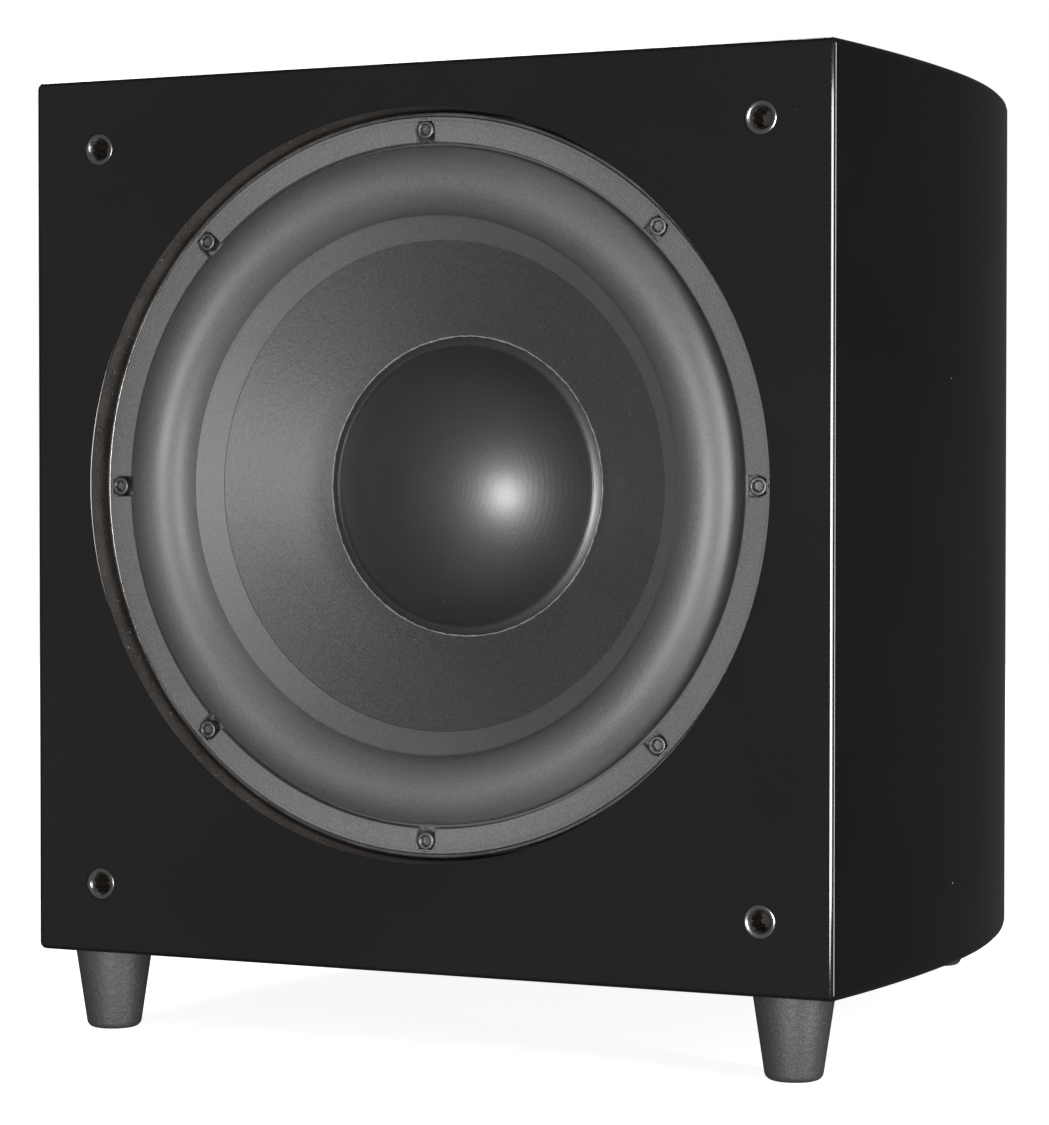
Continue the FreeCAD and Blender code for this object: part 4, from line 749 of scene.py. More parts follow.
def makeSurround():
    # half roll between two lands; the same profile, a wall's thickness lower, closes it underneath
    shape = driverShape
    outer, inner, foot = shape["rollOuter"], shape["rollInner"], -shape["rollFoot"]
    over = softLine([(145.9, -4.4), (145.9, -3.9, 0.15), (outer + 0.1, -3.9, 0.5), (outer, -0.4)], 5)
    roll = arcPoints((outer, -0.4), (inner, foot), shape["rollBend"], 64)
    lip, under, edge = -shape["landTop"], shape["landInner"] + 0.8, shape["landInner"]
    land = softLine([(inner, foot), (inner - 0.9, foot - 0.8, 1.2), (edge, lip - 0.1, 0.1), (edge, lip - 0.45),
                     (under, lip - 0.5), (under, coneHeight(under))], 6)
    hollowOuter, hollowInner = shape["hollowOuter"], shape["hollowInner"]
    below = [(hollowInner, coneHeight(hollowInner)), (hollowInner, -3.8)]
    hollow = arcPoints((hollowInner, -3.8), (hollowOuter, -3.8), -(hollowOuter - hollowInner) / 2 - 0.01, 40)
    profile = np.vstack([over, roll[1:], land[1:], below, hollow[1:], [(hollowOuter, -4.4), (145.9, -4.4)]])
    piece = makePiece("rollSurround", [turned(profile, 256)], driverFront, frontAxes, finishes["roll_rubber"],
                      "moving_cone", "roll_rubber", ["surround"], crease=40)
    return blendByRadius(piece, shape["rollOuter"], shape["rollInner"])


def blendByRadius(piece, still, moving):
    # the piece is freed from its body and its place baked into its mesh; each point's share of the travel is
    # worked out from its radius (none outside the still radius, all inside the moving radius, eased between),
    # but the share is not used
    piece.parent = None
    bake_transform(piece)
    points = np.empty(len(piece.data.vertices) * 3, np.float32)
    piece.data.vertices.foreach_get("co", points)
    points = points.reshape(-1, 3)
    radius = np.hypot(points[:, 0] - driverFront[0], points[:, 2] - driverFront[2]) / mm
    share = np.clip((still - radius) / (still - moving), 0, 1)
    share = share * share * (3 - 2 * share)
    return piece


def makeCone():
    shape = driverShape
    edge, neck, thick = shape["coneEdge"], shape["neck"], shape["coneThick"]
    radii = np.linspace(edge, neck + 0.1, 60)
    front = [(radius, coneHeight(radius)) for radius in radii]
    back = [(radius, coneHeight(radius, thick)) for radius in radii[::-1]]
    return makePiece("coneDish", [turned(front + back + front[:1], 256)], driverFront, frontAxes,
                     finishes["cone_poly"], "moving_cone", "cone_poly", ["cone"], crease=60)


def makeDustCap():
    # a shallow dome on a flat rim
    shape = driverShape
    rim = shape["cap"] - shape["capRim"]
    level = -shape["capDepth"]
    dome = arcPoints((0, -shape["capTop"]), (rim, level + 1.25), -shape["capBend"], 48)
    edge = softLine([dome[-2], dome[-1], (rim + 0.35, level + 1.1, 0.12), (rim + 0.75, level + 1.9, 0.25),
                     (shape["cap"] - 0.35, level + 0.4, 0.3), (shape["cap"], level + 0.1)], 5)
    under = arcPoints((rim - 0.3, level), (0, -shape["capTop"] - 1.2), shape["capBend"], 16)
    profile = np.vstack([dome[:-2], edge, under])
    return makePiece("dustCap", [turned(profile, 256)], driverFront, frontAxes, finishes["cap_poly"],
                     "moving_cone", "cap_poly", ["dust_cap"], crease=50)


def makeGlueBead():
    # squeezed-out glue: a thin ring whose thickness and radius wander along the way
    random = np.random.default_rng(11)
    turn = ringTurn(720)
    swell, wander = np.zeros(720), np.zeros(720)
    for waves in (3, 7, 13, 29, 47, 83):
        swell += random.uniform(0.4, 1) * np.sin(waves * turn + random.uniform(0, 6.28)) / 6
        wander += random.uniform(0.4, 1) * np.sin((waves + 2) * turn + random.uniform(0, 6.28)) / 6
    thick = 0.34 + 0.3 * swell
    centre = driverShape["cap"] + 0.12 + 0.3 * wander
    around = ringTurn(10)[:, None]
    radius = centre + thick * np.cos(around)
    height = coneHeight(driverShape["cap"]) + 0.35 + thick * np.sin(around)
    grid = np.stack([radius * np.cos(turn), radius * np.sin(turn), height * np.ones(720)], 2)
    grid = np.concatenate([grid, grid[:1]])
    return makePiece("capGlueBead", [grid], driverFront, frontAxes, glueClear, "moving_cone", "cap_poly",
                     crease=80)


def makeSpider():
    # a cloth disc pressed into rings: a cosine of the radius that fades out at both ends
    shape = spiderShape
    radii = np.linspace(shape["inner"], shape["outer"], 73)
    count = np.linspace(0, shape["rings"], 73)
    fade = np.clip(np.minimum(count, shape["rings"] - count), 0, 1)
    wave = shape["level"] - shape["wave"] * fade * np.cos(np.pi * count)
    front = [(shape["neck"], shape["level"]), *zip(radii, wave), (shape["rim"], shape["level"])]
    back = [(radius, height - shape["thick"]) for radius, height in front[::-1]]
    piece = makePiece("spiderCloth", [turned(front + back + front[:1], 192)], driverFront, frontAxes,
                      finishes["spider_cloth"], "moving_cone", "spider_cloth", ["spider"], crease=60)
    return blendByRadius(piece, shape["outer"], shape["inner"])


def makeLeads():
    # round braid swept along a loop; its radius ripples along two crossing spirals
    shape = leadShape
    path = softLine(shape["path"], 9)
    length = np.append(0, np.cumsum(np.hypot(*np.diff(path, axis=0).T)))
    along = np.arange(0, length[-1], shape["step"])
    path = np.stack([np.interp(along, length, column) for column in path.T], 1)
    heading = np.gradient(path, axis=0)
    heading /= np.linalg.norm(heading, axis=1, keepdims=True)
    turn = ringTurn(shape["sides"])[None]
    spiral = shape["twist"] * along[:, None]
    thick = shape["radius"] * (0.93 + 0.07 * np.cos(4 * turn + spiral) * np.cos(4 * turn - spiral))
    across = path[:, :1] - heading[:, 1:] * thick * np.cos(turn)
    out = path[:, 1:] + heading[:, :1] * thick * np.cos(turn)
    up = thick * np.sin(turn)
    loops = [np.stack([across, up + side * shape["apart"], out], 2) for side in (-1, 1)]
    piece = makePiece("tinselBraids", loops, driverFront, frontAxes, finishes["coil_copper"], "moving_cone",
                      "coil_copper", ["tinsel_leads"], crease=80)
    piece.parent = None
    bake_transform(piece)


makeGasket()
makeFlangeRim()
makeDriverScrews()
makeSurround()
makeCone()
makeDustCap()
makeGlueBead()
makeSpider()
makeLeads()
print("subwoofer: driver made")

# ---- amplifier plate and what is on it ----

ampShape = {
    "plate": (204, 300, 8), "low": 1.5, "face": 4.5, "knobX": 46, "knobY": 84, "toggleX": 22, "toggleY": 40,
    "jackX": 62, "jackY": 22, "jackPitch": 18, "postX": -52, "postY": 22, "postPitch": 19,
    "inletX": -58, "rockerX": 8, "fuseX": 58, "lowerRow": -120, "lensY": 122, "screwX": 97, "screwY": 145,
    "sinkSize": (150, 74, -48),    # width, height up the plate, middle
    "finSize": (3, 15, 1.8, 8.72, 18),    # base, fin height, fin thickness, pitch, number of fins
    "knobRadius": 9.4, "knobTall": 15, "skirtRadius": 10.5, "flutes": 20, "rockerRadius": 11.2,
}
ampBack = np.array([0, corners("amp_plate_seal")[0][1], middle("amp_plate")[2]])
face = ampShape["face"]
jackSpots = [(ampShape["jackX"] + column * ampShape["jackPitch"],
              ampShape["jackY"] + line * ampShape["jackPitch"]) for column in (-0.5, 0.5)
             for line in (-0.5, 0.5)]
postSpots = [(ampShape["postX"] + column * ampShape["postPitch"],
              ampShape["postY"] + line * ampShape["postPitch"]) for column in (-0.5, 0.5)
             for line in (-0.5, 0.5)]


def rearPiece(name, grids, finish, body, slot, stands=(), **more):
    return makePiece(name, grids, ampBack, rearAxes, finish, body, slot, stands, **more)


def peg(radius, low, high, x, y, count=48):
    return shifted(turned([(radius, low), (radius, high)], count), x, y)


def makeAmpPlate():
    shape = ampShape
    width, height, bend = shape["plate"]
    sheet = block(softRectangle(width, height, bend, 10), shape["low"], face, 0.5, bothEdges=True)
    holes = [peg(3.55, -2, 8, side * shape["knobX"], shape["knobY"]) for side in (-1, 1)]
    holes += [peg(3.05, -2, 8, side * shape["toggleX"], shape["toggleY"]) for side in (-1, 1)]
    holes += [peg(3.55, -2, 8, x, y) for x, y in jackSpots + postSpots]
    holes += [peg(2.5, -2, 8, 0, shape["lensY"]), peg(6.05, -2, 8, shape["fuseX"], shape["lowerRow"])]
    for x, size in ((shape["inletX"], (27.1, 20.1)), (shape["rockerX"], (12.1, 27.1))):
        holes.append(shifted(block(softRectangle(*size, 0.5), -2, 8, 0.1), x, shape["lowerRow"]))
    return rearPiece("ampPlate", [sheet], finishes["amp_paint"], "cabinet", "amp_paint", ["amp_plate"],
                     weighted=True, cutters=holes)


def crossShape(turn):
    # plus sign as a radius by angle: long where the ray runs down an arm, short between the arms
    arm, half = 1.45, 0.36
    fold = abs((turn + np.pi / 4) % (np.pi / 2) - np.pi / 4)
    return np.minimum(arm / np.cos(fold), half / np.maximum(np.sin(fold), 1e-6))


def makeAmpScrews():
    # pan heads; the rows that make the recess follow a plus sign
    head = softLine([(3.4, face + 0.02), (3.4, face + 0.8, 0.3), (2.5, face + 1.75, 0.9), (1.9, face + 2.0)],
                    5)
    rows = [(0, face - 16), (1.8, face - 16), (1.8, face + 0.02)] + plain(head)
    rows += [(1.62, face + 2.05), (1, face + 1.95, 1), (0.85, face + 0.9, 1), (0, face + 0.85)]
    places = [(side * ampShape["screwX"], step * ampShape["screwY"])
              for side in (-1, 1) for step in (-1, -0.34, 0.34, 1)]
    places += [(0, side * ampShape["screwY"]) for side in (-1, 1)]
    screws = []
    for number, (x, y) in enumerate(places):
        start = 0.61 * number
        shape = lambda turn, start=start: crossShape(turn + start)
        screws.append(shifted(turned(rows, 96, shape), x, y))
    return rearPiece("ampScrews", screws, finishes["black_steel"], "cabinet", "black_steel", ["amp_screws"])


def makeHeatSink():
    # one comb outline, (across, height), drawn up the plate; each fin has a round tip and a round root
    width, tall, middleY = ampShape["sinkSize"]
    base, fin, thick, pitch, fins = ampShape["finSize"]
    line = [(-width / 2, 0, 0.4)]
    line.append((width / 2, 0, 0.4))
    for number in range(fins)[::-1]:
        x = -width / 2 + pitch * number
        last, first = x + thick, x
        line += [(last, base, 0.6)] if number < fins - 1 else []
        line += [(last, fin, 0.7), (first, fin, 0.7)]
        line += [(first, base, 0.6)] if number else []
    outline = softLine(line, 4, closed=True)
    bar = stacked(outline, [(0.25, -tall / 2), (0, -tall / 2 + 0.25), (0, tall / 2 - 0.25), (0.25, tall / 2)])
    bar = np.stack([bar[..., 0], -bar[..., 2] + middleY, bar[..., 1] + face], 2)
    return rearPiece("heatSink", [bar], finishes["sink_black"], "cabinet", "sink_black", ["heat_sink"])


def makeKnob(name, side):
    # fluted grip over a plain skirt; the flutes fade out at the crown
    low = face + 1.2
    wide, radius, top = ampShape["skirtRadius"], ampShape["knobRadius"], low + ampShape["knobTall"]
    skirt = softLine([(3.1, low), (wide, low, 0.3), (wide, low + 2, 0.5), (radius, low + 2.6, 0.4)], 5)
    grip = [(radius, low + 2.9), (radius - 0.4, top - 1)]
    crown = softLine([(8.7, top - 0.8), (8.2, top, 0.6), (6.8, top, 0.4), (6.5, top - 0.25), (0, top - 0.25)],
                     5)
    rows = plain(skirt)
    rows += [(across, height, 1) for across, height in grip]
    rows += plain(crown)
    flutes = lambda turn: 1 - 0.075 * np.clip(np.cos(ampShape["flutes"] * turn), 0, 1) ** 0.7
    x = side * ampShape["knobX"]
    rows = [(3.06, low + 11), (3.06, low)] + rows[1:]
    grid = shifted(turned([(0, low + 11)] + rows, 240, flutes), x, ampShape["knobY"])
    body = f"{name}_control"
    rearPiece(f"{name}Knob", [grid], finishes["knob_plastic"], body, "knob_plastic", [f"{name}_knob"])
    line = block(softRectangle(1.1, 6.4, 0.3, 4), low + 14.6, low + 15.02, 0.05)
    stripe = block(softRectangle(1.0, 9.5, 0.3, 4), 0, 0.3, 0.1)
    stripe = np.stack([stripe[..., 0], 8.72 + stripe[..., 2] - 0.02 * stripe[..., 1],
                       stripe[..., 1] + low + 8.6], 2)
    marks = [shifted(line, x, ampShape["knobY"] + 3.4), shifted(stripe, x, ampShape["knobY"])]
    rearPiece(f"{name}KnobLine", marks, printedWhite, body, "knob_plastic")


def makeDials():
    # printed ticks round each knob over 300 degrees, every fifth one longer, and a thin frame round groups
    ticks = []
    for side in (-1, 1):
        for number in range(31):
            turn = np.radians(-60 + 300 * number / 30)
            long = 3.2 if number % 5 == 0 else 1.7
            mark = shifted(block(softRectangle(long, 0.45, 0.1, 3), face, face + 0.04, 0.01), 13.4 + long / 2,
                           0)
            spin = np.array([[np.cos(turn), np.sin(turn), 0], [-np.sin(turn), np.cos(turn), 0], [0, 0, 1]])
            ticks.append(shifted(mark @ spin, side * ampShape["knobX"], ampShape["knobY"]))
    for x, y, width, height in ((ampShape["jackX"], ampShape["jackY"], 42, 42),
                                (ampShape["postX"], ampShape["postY"], 44, 42)):
        outer, inner = softRectangle(width, height, 3), softRectangle(width - 0.7, height - 0.7, 2.65)
        rings = [np.column_stack([ring, np.full(len(ring), level)])
                 for ring, level in ((outer, face), (outer, face + 0.04), (inner, face + 0.04), (inner, face),
                                     (outer, face))]
        ticks.append(shifted(np.stack(rings), x, y))
    return rearPiece("platePrinting", ticks, printedWhite, "cabinet", "amp_paint")


def makeNumbers():
    # plain dial figures, drawn with the built-in letters and laid flat on the plate
    figures = [(-1, -150, "0"), (-1, 150, "10"), (-1, 0, "5"), (1, -150, "40"), (1, 150, "160"), (1, 0, "80")]
    for number, (side, angle, text) in enumerate(figures):
        curve = bpy.data.curves.new(f"figure{number}", "FONT")
        curve.body, curve.size, curve.align_x, curve.align_y = text, 4.6, "CENTER", "CENTER"
        curve.extrude = 0.02
        shown = bpy.data.objects.new(f"dialFigure{number}", curve)
        bpy.context.scene.collection.objects.link(shown)
        bpy.context.view_layer.update()
        seen = shown.evaluated_get(bpy.context.evaluated_depsgraph_get())
        mesh = bpy.data.meshes.new_from_object(seen)
        bpy.data.objects.remove(shown)
        points = np.empty(len(mesh.vertices) * 3, np.float32)
        mesh.vertices.foreach_get("co", points)
        turn = np.radians(angle)
        spot = [side * ampShape["knobX"] + 20.5 * np.sin(turn), ampShape["knobY"] + 20.5 * np.cos(turn),
                face + 0.02]
        points = (points.reshape(-1, 3) + spot) * mm @ rearAxes + ampBack
        mesh.vertices.foreach_set("co", points.astype(np.float32).ravel())
        tidyMesh(mesh)
        mesh.materials.clear()
        mesh.materials.append(printedWhite)
        piece = bpy.data.objects.new(f"dialFigure{number}", mesh)
        bpy.context.scene.collection.objects.link(piece)
        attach(piece, "cabinet")


def makeToggles():
    # hexagon nut on a ridged bushing, with the switch case behind the plate
    thread = [(3.9 - 0.16 * (number % 2), face + 2.2 + 0.28 * number) for number in range(10)]
    rows = [(0, -14), (6.5, -14), (6.5, -2), (3, -2), (3, face), (5.8, face), (5.8, face + 0.4),
            (4.75, face + 0.4, 1), (4.75, face + 1.9, 1), (4.5, face + 2.15, 0.7)]
    rows += thread
    rows += [(3.6, face + 5), (3.25, face + 5), (3.0, face + 3), (3.0, face + 0.5), (2, face - 1),
             (0, face - 1)]
    bushes = [shifted(turned(rows, 96, hexagon), side * ampShape["toggleX"], ampShape["toggleY"])
              for side in (-1, 1)]
    rearPiece("toggleBushings", bushes, finishes["switch_chrome"], "cabinet", "switch_chrome",
              ["toggle_bodies"])
    ball = arcPoints((0.4, -2.65), (1.9, 1.918), 2.7, 16)
    bat = softLine([(1.9, 1.918), (1.2, 2.5, 0.5), (1.9, 13, 0.6), (1.75, 14.2, 0.8), (0.4, 14.8)], 6)
    profile = np.vstack([[(0, -2.65)], ball, bat[1:], [(0, 14.8)]])
    for name, side, lean in (("phase", -1, 12), ("power_mode", 1, 0)):
        lever = leaning(turned(profile, 48), lean)
        lever = shifted(lever, side * ampShape["toggleX"], ampShape["toggleY"], face + 2.6)
        rearPiece(f"{name}Lever", [lever], finishes["switch_chrome"], f"{name}_lever", "switch_chrome",
                  [f"{name}_toggle"])


def makeLineJacks():
    top = face + 9
    shell = softLine([(2.9, -9), (3.5, -9), (3.5, face), (5.6, face, 0.1), (5.6, face + 1.4, 0.3),
                      (4.125, face + 1.4), (4.125, top, 0.3), (3.6, top, 0.15), (3.6, face + 1),
                      (2.9, face + 1), (2.9, -9)], 4)
    rearPiece("lineJackShells", [shifted(turned(shell, 72), x, y) for x, y in jackSpots],
              finishes["jack_metal"], "cabinet", "jack_metal", ["line_jacks"])
    core = softLine([(0, -9), (2.85, -9), (2.85, face + 1), (3.55, face + 1), (3.55, top - 2, 0.2),
                     (1.75, top - 2, 0.3), (1.55, top - 3), (1.55, -4), (0, -4)], 4)
    for label, line, paint in (("White", 1, ringWhite), ("Red", 0, ringRed)):
        spots = [spot for number, spot in enumerate(jackSpots) if number % 2 == line]
        rearPiece(f"lineJackCores{label}", [shifted(turned(core, 48), x, y) for x, y in spots], paint,
                  "cabinet", "jack_plastic", ["line_jack_cores"])


def makeBindingPosts():
    # fixed base and hollow post, and a fluted collar that turns on it
    seat, top = face + 3, face + 20
    post = softLine([(0, -12), (1.8, -12), (1.8, -3), (3.5, -3), (3.5, face), (6.5, face, 0.2),
                     (6.5, seat, 0.5), (3, seat), (3, top - 1, 0.2), (2.05, top - 1, 0.2), (2.05, top - 13),
                     (0, top - 13)], 4)
    rearPiece("bindingPosts", [shifted(turned(post, 72), x, y) for x, y in postSpots], finishes["jack_metal"],
              "cabinet", "jack_metal", ["binding_posts"])
    names = ("lower_a", "upper_a", "lower_b", "upper_b")
    flutes = lambda turn: 1 - 0.07 * np.clip(np.cos(16 * turn) * 1.6, 0, 1)
    for number, (name, (x, y)) in enumerate(zip(names, postSpots)):
        skirt = softLine([(3.06, seat + 1.5), (5.4, seat + 1.5, 0.2), (5.9, seat + 2.1)], 4)
        crown = softLine([(5.9, top - 1.4), (5.0, top, 0.5), (2.5, top, 0.2), (2.35, top - 0.7),
                          (3.06, top - 0.7)], 5)
        rows = plain(skirt[:-1])
        rows += [(5.98, seat + 2.4, 1), (5.98, top - 1.7, 1)] + plain(crown) + [tuple(skirt[0])]
        colour = "post_red" if name.startswith("upper") else "post_black"
        rearPiece(f"postCollar_{name}", [shifted(turned(rows, 192, flutes), x, y)], finishes[colour],
                  f"post_nut_{number + 1}", colour, [f"post_nut_{name}"])


def makeInlet():
    # one skin from the back of the case, out over the flange and down into the cavity
    case, flange = softRectangle(27, 20, 0.8), softRectangle(48, 23, 5, 10)
    cavity = softLine([(-12.2, -8.1, 1), (12.2, -8.1, 1), (12.2, 3.5, 1), (8, 8.1, 1), (-8, 8.1, 1),
                       (-12.2, 3.5, 1)], 5, closed=True)
    slim, mouth = softRectangle(47, 22, 4.6, 10), cavity * 1.05
    point = cavity * 0.01
    skin = lofted([(point, face - 14), (case * 0.98, face - 14), (case, face - 13.6), (case, face),
                   (flange, face), (flange, face + 1.9), (slim, face + 2.5), (mouth, face + 2.5),
                   (cavity, face + 2.1), (cavity, face - 12.5), (point, face - 12.5)])
    spot = (ampShape["inletX"], ampShape["lowerRow"])
    rearPiece("mainsInlet", [shifted(skin, *spot)], finishes["inlet_plastic"], "cabinet", "inlet_plastic",
              ["mains_inlet"])
    pins = []
    for x, y in ((-7, -2), (0, 2), (7, -2)):
        blade = block(softRectangle(2, 4, 0.5), face - 12.6, face + 1, 0.5)
        pins.append(shifted(blade, spot[0] + x, spot[1] + y))
    rearPiece("inletPins", pins, finishes["pin_nickel"], "cabinet", "pin_nickel", ["inlet_pins"])
    top = face + 2.5
    head = softLine([(3.1, top - 0.9), (3.1, top + 0.15, 0.3), (2.0, top + 0.55), (1.5, top + 0.6)], 4)
    rows = [(0, top - 0.9)] + plain(head)
    rows += [(0.85, top + 0.55, 1), (0.75, top - 0.5, 1), (0, top - 0.5)]
    screws = [shifted(turned(rows, 64, crossShape), spot[0] + side * 20, spot[1]) for side in (-1, 1)]
    rearPiece("inletScrews", screws, finishes["black_steel"], "cabinet", "black_steel")


def makeRocker():
    radius = ampShape["rockerRadius"]
    frameOuter, frameSlim = softRectangle(15, 30, 1.6, 8), softRectangle(14, 29, 1.4, 8)
    case, hollow, mouth = softRectangle(12, 27, 0.6), softRectangle(9.6, 23.2, 0.4), softRectangle(10.2, 23.8,
                                                                                                   0.6)
    point = softRectangle(0.1, 0.1, 0.01)
    skin = lofted([(point, face - 16), (case, face - 16), (case, face), (frameOuter, face),
                   (frameOuter, face + 1.4), (frameSlim, face + 2), (mouth, face + 2), (hollow, face + 1.6),
                   (hollow, face - 11), (point, face - 11)])
    spot = (ampShape["rockerX"], ampShape["lowerRow"])
    rearPiece("rockerFrame", [shifted(skin, *spot)], finishes["rocker_plastic"], "cabinet", "rocker_plastic",
              ["rocker_frame"])
    # side view of the rocker, (up, out): two round ends about its axis and a shallow valley between the pads
    start, end = np.radians(24), np.radians(17)
    left = arcPoints((-radius * np.cos(end), radius * np.sin(end)),
                     (-radius * np.cos(start), -radius * np.sin(start)), radius, 14)
    right = left[::-1] * [-1, 1]
    valley = softLine([right[-1], (0, 1.6, 14), left[0]], 12)[1:-1]
    side = np.vstack([left, right, valley])
    slab = stacked(side, [(0.5, -4.5), (0.13, -4.37), (0, -4), (0, 4), (0.13, 4.37), (0.5, 4.5)])
    slab = np.stack([slab[..., 2], slab[..., 0], slab[..., 1]], 2)
    place = lambda grid: shifted(leaning(grid, -8), spot[0], spot[1], face + 1.5)
    rearPiece("powerRocker", [place(slab)], finishes["rocker_plastic"], "power_switch_rocker",
              "rocker_plastic", ["power_rocker"])
    pad = lambda grid, up: shifted(leaning(grid, -10 * np.sign(up)), 0, up, 1.6 + 0.155 * abs(up))
    bar = block(softRectangle(0.7, 3.6, 0.2, 3), 0.02, 0.1, 0.02)
    ring = turned([(1.7, 0.02), (1.7, 0.1), (1.15, 0.1), (1.15, 0.02), (1.7, 0.02)], 40)
    rearPiece("rockerMarks", [place(pad(bar, 6.2)), place(pad(ring, -6.2))], printedWhite,
              "power_switch_rocker", "rocker_plastic")


def makeFuse():
    top = face + 2.4
    x, y = ampShape["fuseX"], ampShape["lowerRow"]
    holder = softLine([(0, -30), (6, -30), (6, face), (8.5, face), (8.5, top, 0.6), (5.3, top, 0.2),
                       (5.06, top - 0.4), (5.06, -6), (0, -6)], 5)
    rearPiece("fuseHolder", [shifted(turned(holder, 96), x, y)], finishes["inlet_plastic"], "cabinet",
              "inlet_plastic", ["fuse_holder"])
    grip = lambda turn: 1 - 0.03 * np.clip(np.cos(24 * turn) * 2, 0, 1)
    rows = [(0, -5), (5, -5), (5, top + 0.5), (6.6, top + 0.5), (6.8, top + 0.8, 1), (6.8, top + 5.4, 1)]
    crown = softLine([(6.7, top + 5.6), (6.3, top + 6.6, 0.7), (5.2, top + 6.6)], 5)
    rows += plain(crown) + [(0, top + 6.6)]
    slot = shifted(block(softRectangle(9, 1.4, 0.4), top + 5, top + 9, 0.1), x, y)
    rearPiece("fuseCap", [shifted(turned(rows, 192, grip), x, y)], finishes["inlet_plastic"],
              "fuse_cap_turning", "inlet_plastic", ["fuse_cap"], cutters=[slot])


def makeLens():
    dome = arcPoints((2.45, face + 0.4), (0.3, face + 1.68), 3.0, 10)
    bezel = softLine([(2.5, face), (4.1, face, 0.1), (4.1, face + 0.9, 0.4), (2.9, face + 0.9, 0.3),
                      (2.5, face + 0.4), (2.5, face)], 5)
    grid = np.vstack([[(0, -3), (2.45, -3)], dome, [(0, face + 1.7)]])
    rearPiece("statusLens", [shifted(turned(grid, 48), 0, ampShape["lensY"])], finishes["lens_green"],
              "cabinet", "lens_green", ["status_lens"])
    rearPiece("lensBezel", [shifted(turned(bezel, 48), 0, ampShape["lensY"])], finishes["jack_plastic"],
              "cabinet", "jack_plastic")


makeAmpPlate()
makeAmpScrews()
makeHeatSink()
makeKnob("volume", -1)
makeKnob("crossover", 1)
makeDials()
makeNumbers()
makeToggles()
makeLineJacks()
makeBindingPosts()
makeInlet()
makeRocker()
makeFuse()
makeLens()
print("subwoofer: amplifier made")

# ---- studio ----

studio = {
    "floorSize": 6.0, "roomFront": 0.27, "roomBack": 0.055, "cameraPlace": (0.6446, -1.4852, 0.2432),
    "cameraTurn": (88.714, -0.023, 24.91), "lens": 108.07, "roomTurnsDark": (-0.82, -0.1),
    "floorGlow": (0.9, 1.0),
    "floorGlowFrom": (0.45, 1.1),
}
softboxes = {    # azimuth and elevation as seen from the middle of the object, distance, width, height, watts
    "keyBox": (12, -4.5, 2.3, 0.54, 0.58, 26.5),
    "sideBox": (67, 3, 2.2, 0.32, 1.9, 36),
    "edgeStrip": (21, 0, 2.3, 1.2, 0.84, 76),
    "rearBox": (218, 38, 2.6, 1.2, 0.9, 50),
}


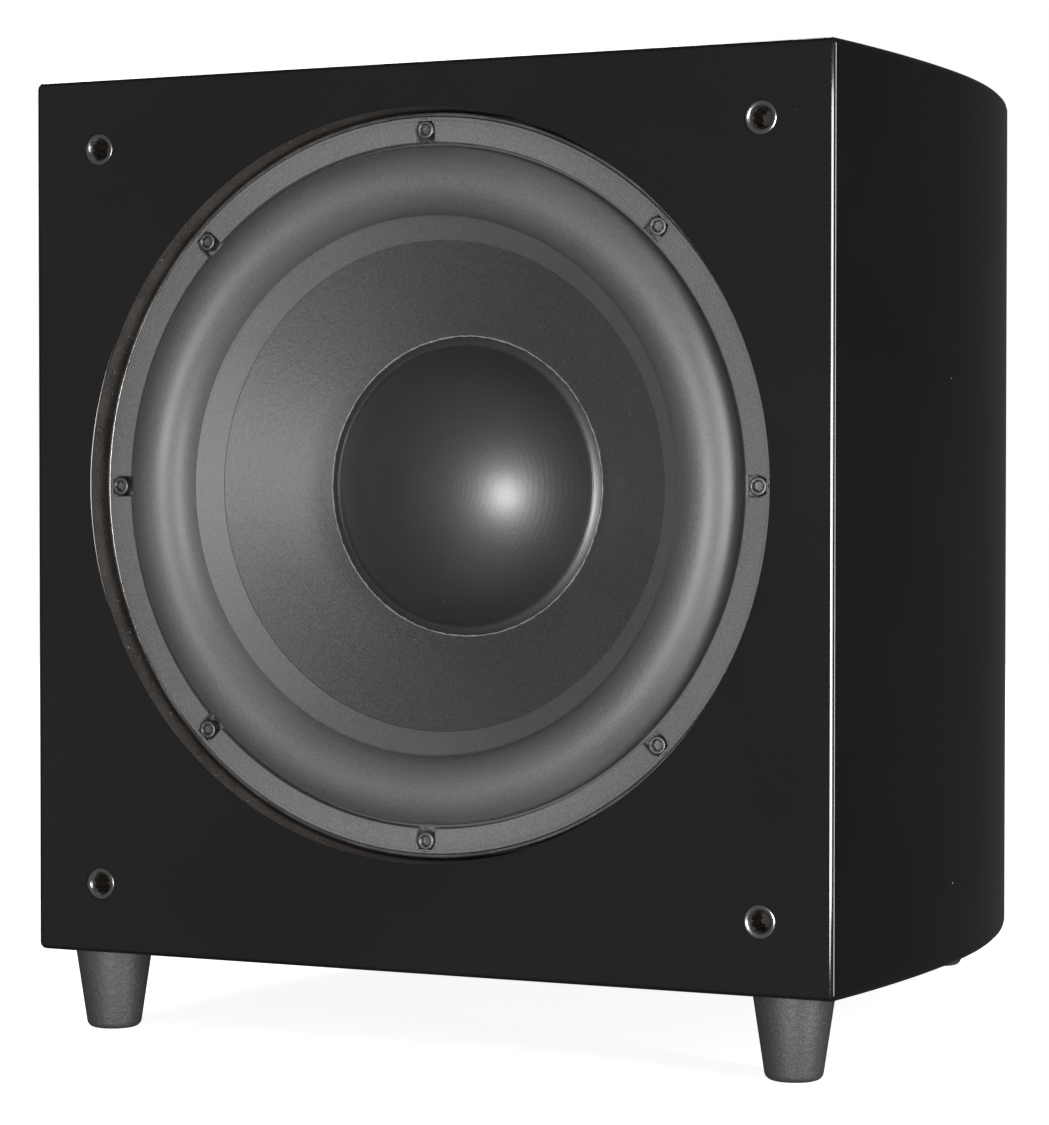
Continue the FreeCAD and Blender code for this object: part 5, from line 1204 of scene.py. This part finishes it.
def makeStudio():
    scene = bpy.context.scene
    scene.view_settings.view_transform = "Standard"
    scene.view_settings.look = "None"
    world = bpy.data.worlds.new("studioRoom")
    scene.world = world
    world.use_nodes = True
    tree = world.node_tree
    tree.nodes.clear()
    seen = addNode(tree, "LightPath").outputs["Is Camera Ray"]
    heading = addNode(tree, "SeparateXYZ", {"Vector": addNode(tree, "TexCoord").outputs["Generated"]})
    front, back = studio["roomTurnsDark"]
    grey = addNode(tree, "MapRange", {"Value": heading.outputs["Y"], "From Min": front, "From Max": back,
                                      "To Min": studio["roomFront"], "To Max": studio["roomBack"]},
                   interpolation_type="SMOOTHSTEP")
    room = addNode(tree, "Background", {"Color": (1, 1, 1, 1), "Strength": grey.outputs["Result"]})
    paper = addNode(tree, "Background", {"Color": (1, 1, 1, 1), "Strength": 1.0})
    mixed = addNode(tree, "MixShader", {0: seen, 1: room.outputs[0], 2: paper.outputs[0]})
    addNode(tree, "OutputWorld", {"Surface": mixed.outputs[0]})
    aim = np.array([0, 0, (cabinetHigh[2] + cabinetLow[2]) / 2])
    for name, (azimuth, elevation, distance, width, height, watts) in softboxes.items():
        light = bpy.data.lights.new(name, "AREA")
        light.shape, light.size, light.size_y, light.energy = "RECTANGLE", width, height, watts
        lamp = bpy.data.objects.new(name, light)
        turn, rise = np.radians(azimuth), np.radians(elevation)
        away = np.array([np.sin(turn) * np.cos(rise), -np.cos(turn) * np.cos(rise), np.sin(rise)])
        lamp.location = aim + away * distance
        lamp.rotation_euler = (np.radians(90 - elevation), 0, turn)
        lamp.visible_camera = False
        if name == "edgeStrip":    # only a gleam along the lacquered edges
            lamp.visible_diffuse = False
            lacquered = bpy.data.collections.new("lacquered")
            for shown in ("cabinetShell", "grilleSockets", "flangeRim"):
                lacquered.objects.link(bpy.data.objects[shown])
            lamp.light_linking.receiver_collection = lacquered
        scene.collection.objects.link(lamp)
    camera = bpy.data.cameras.new("photoCamera")
    camera.lens, camera.sensor_width = studio["lens"], 36
    view = bpy.data.objects.new("photoCamera", camera)
    view.location = studio["cameraPlace"]
    view.rotation_euler = np.radians(studio["cameraTurn"])
    scene.collection.objects.link(view)
    scene.camera = view


def makeFloor():
    # pale paper that glows a little to the camera only, so its far part meets the white room
    half = studio["floorSize"] / 2
    mesh = bpy.data.meshes.new("paperFloor")
    mesh.from_pydata([(-half, -half, 0), (half, -half, 0), (half, half, 0), (-half, half, 0)], [],
                     [(0, 1, 2, 3)])
    floor = bpy.data.objects.new("paperFloor", mesh)
    bpy.context.scene.collection.objects.link(floor)
    floor.visible_glossy = False
    floor.visible_diffuse = False
    floor.visible_shadow = False
    material = bpy.data.materials.new("paleFloor")
    material.use_nodes = True
    tree = material.node_tree
    shader = tree.nodes["Principled BSDF"]
    shader.inputs["Base Color"].default_value = (0.8, 0.8, 0.8, 1)
    shader.inputs["Roughness"].default_value = 0.9
    shader.inputs["Specular IOR Level"].default_value = 0.0
    seen = addNode(tree, "LightPath").outputs["Is Camera Ray"]
    place = addNode(tree, "TexCoord").outputs["Object"]
    away = addNode(tree, "VectorMath", {0: place}, operation="LENGTH").outputs["Value"]
    (near, far), (dim, bright) = studio["floorGlowFrom"], studio["floorGlow"]
    far = addNode(tree, "MapRange", {"Value": away, "From Min": near, "From Max": far, "To Min": dim,
                                     "To Max": bright})
    glow = mathNode(tree, "MULTIPLY", seen, far.outputs["Result"])
    shader.inputs["Emission Color"].default_value = (1, 1, 1, 1)
    tree.links.new(glow, shader.inputs["Emission Strength"])
    mesh.materials.append(material)


makeStudio()
makeFloor()
print("subwoofer: studio made")

bpy.context.view_layer.update()
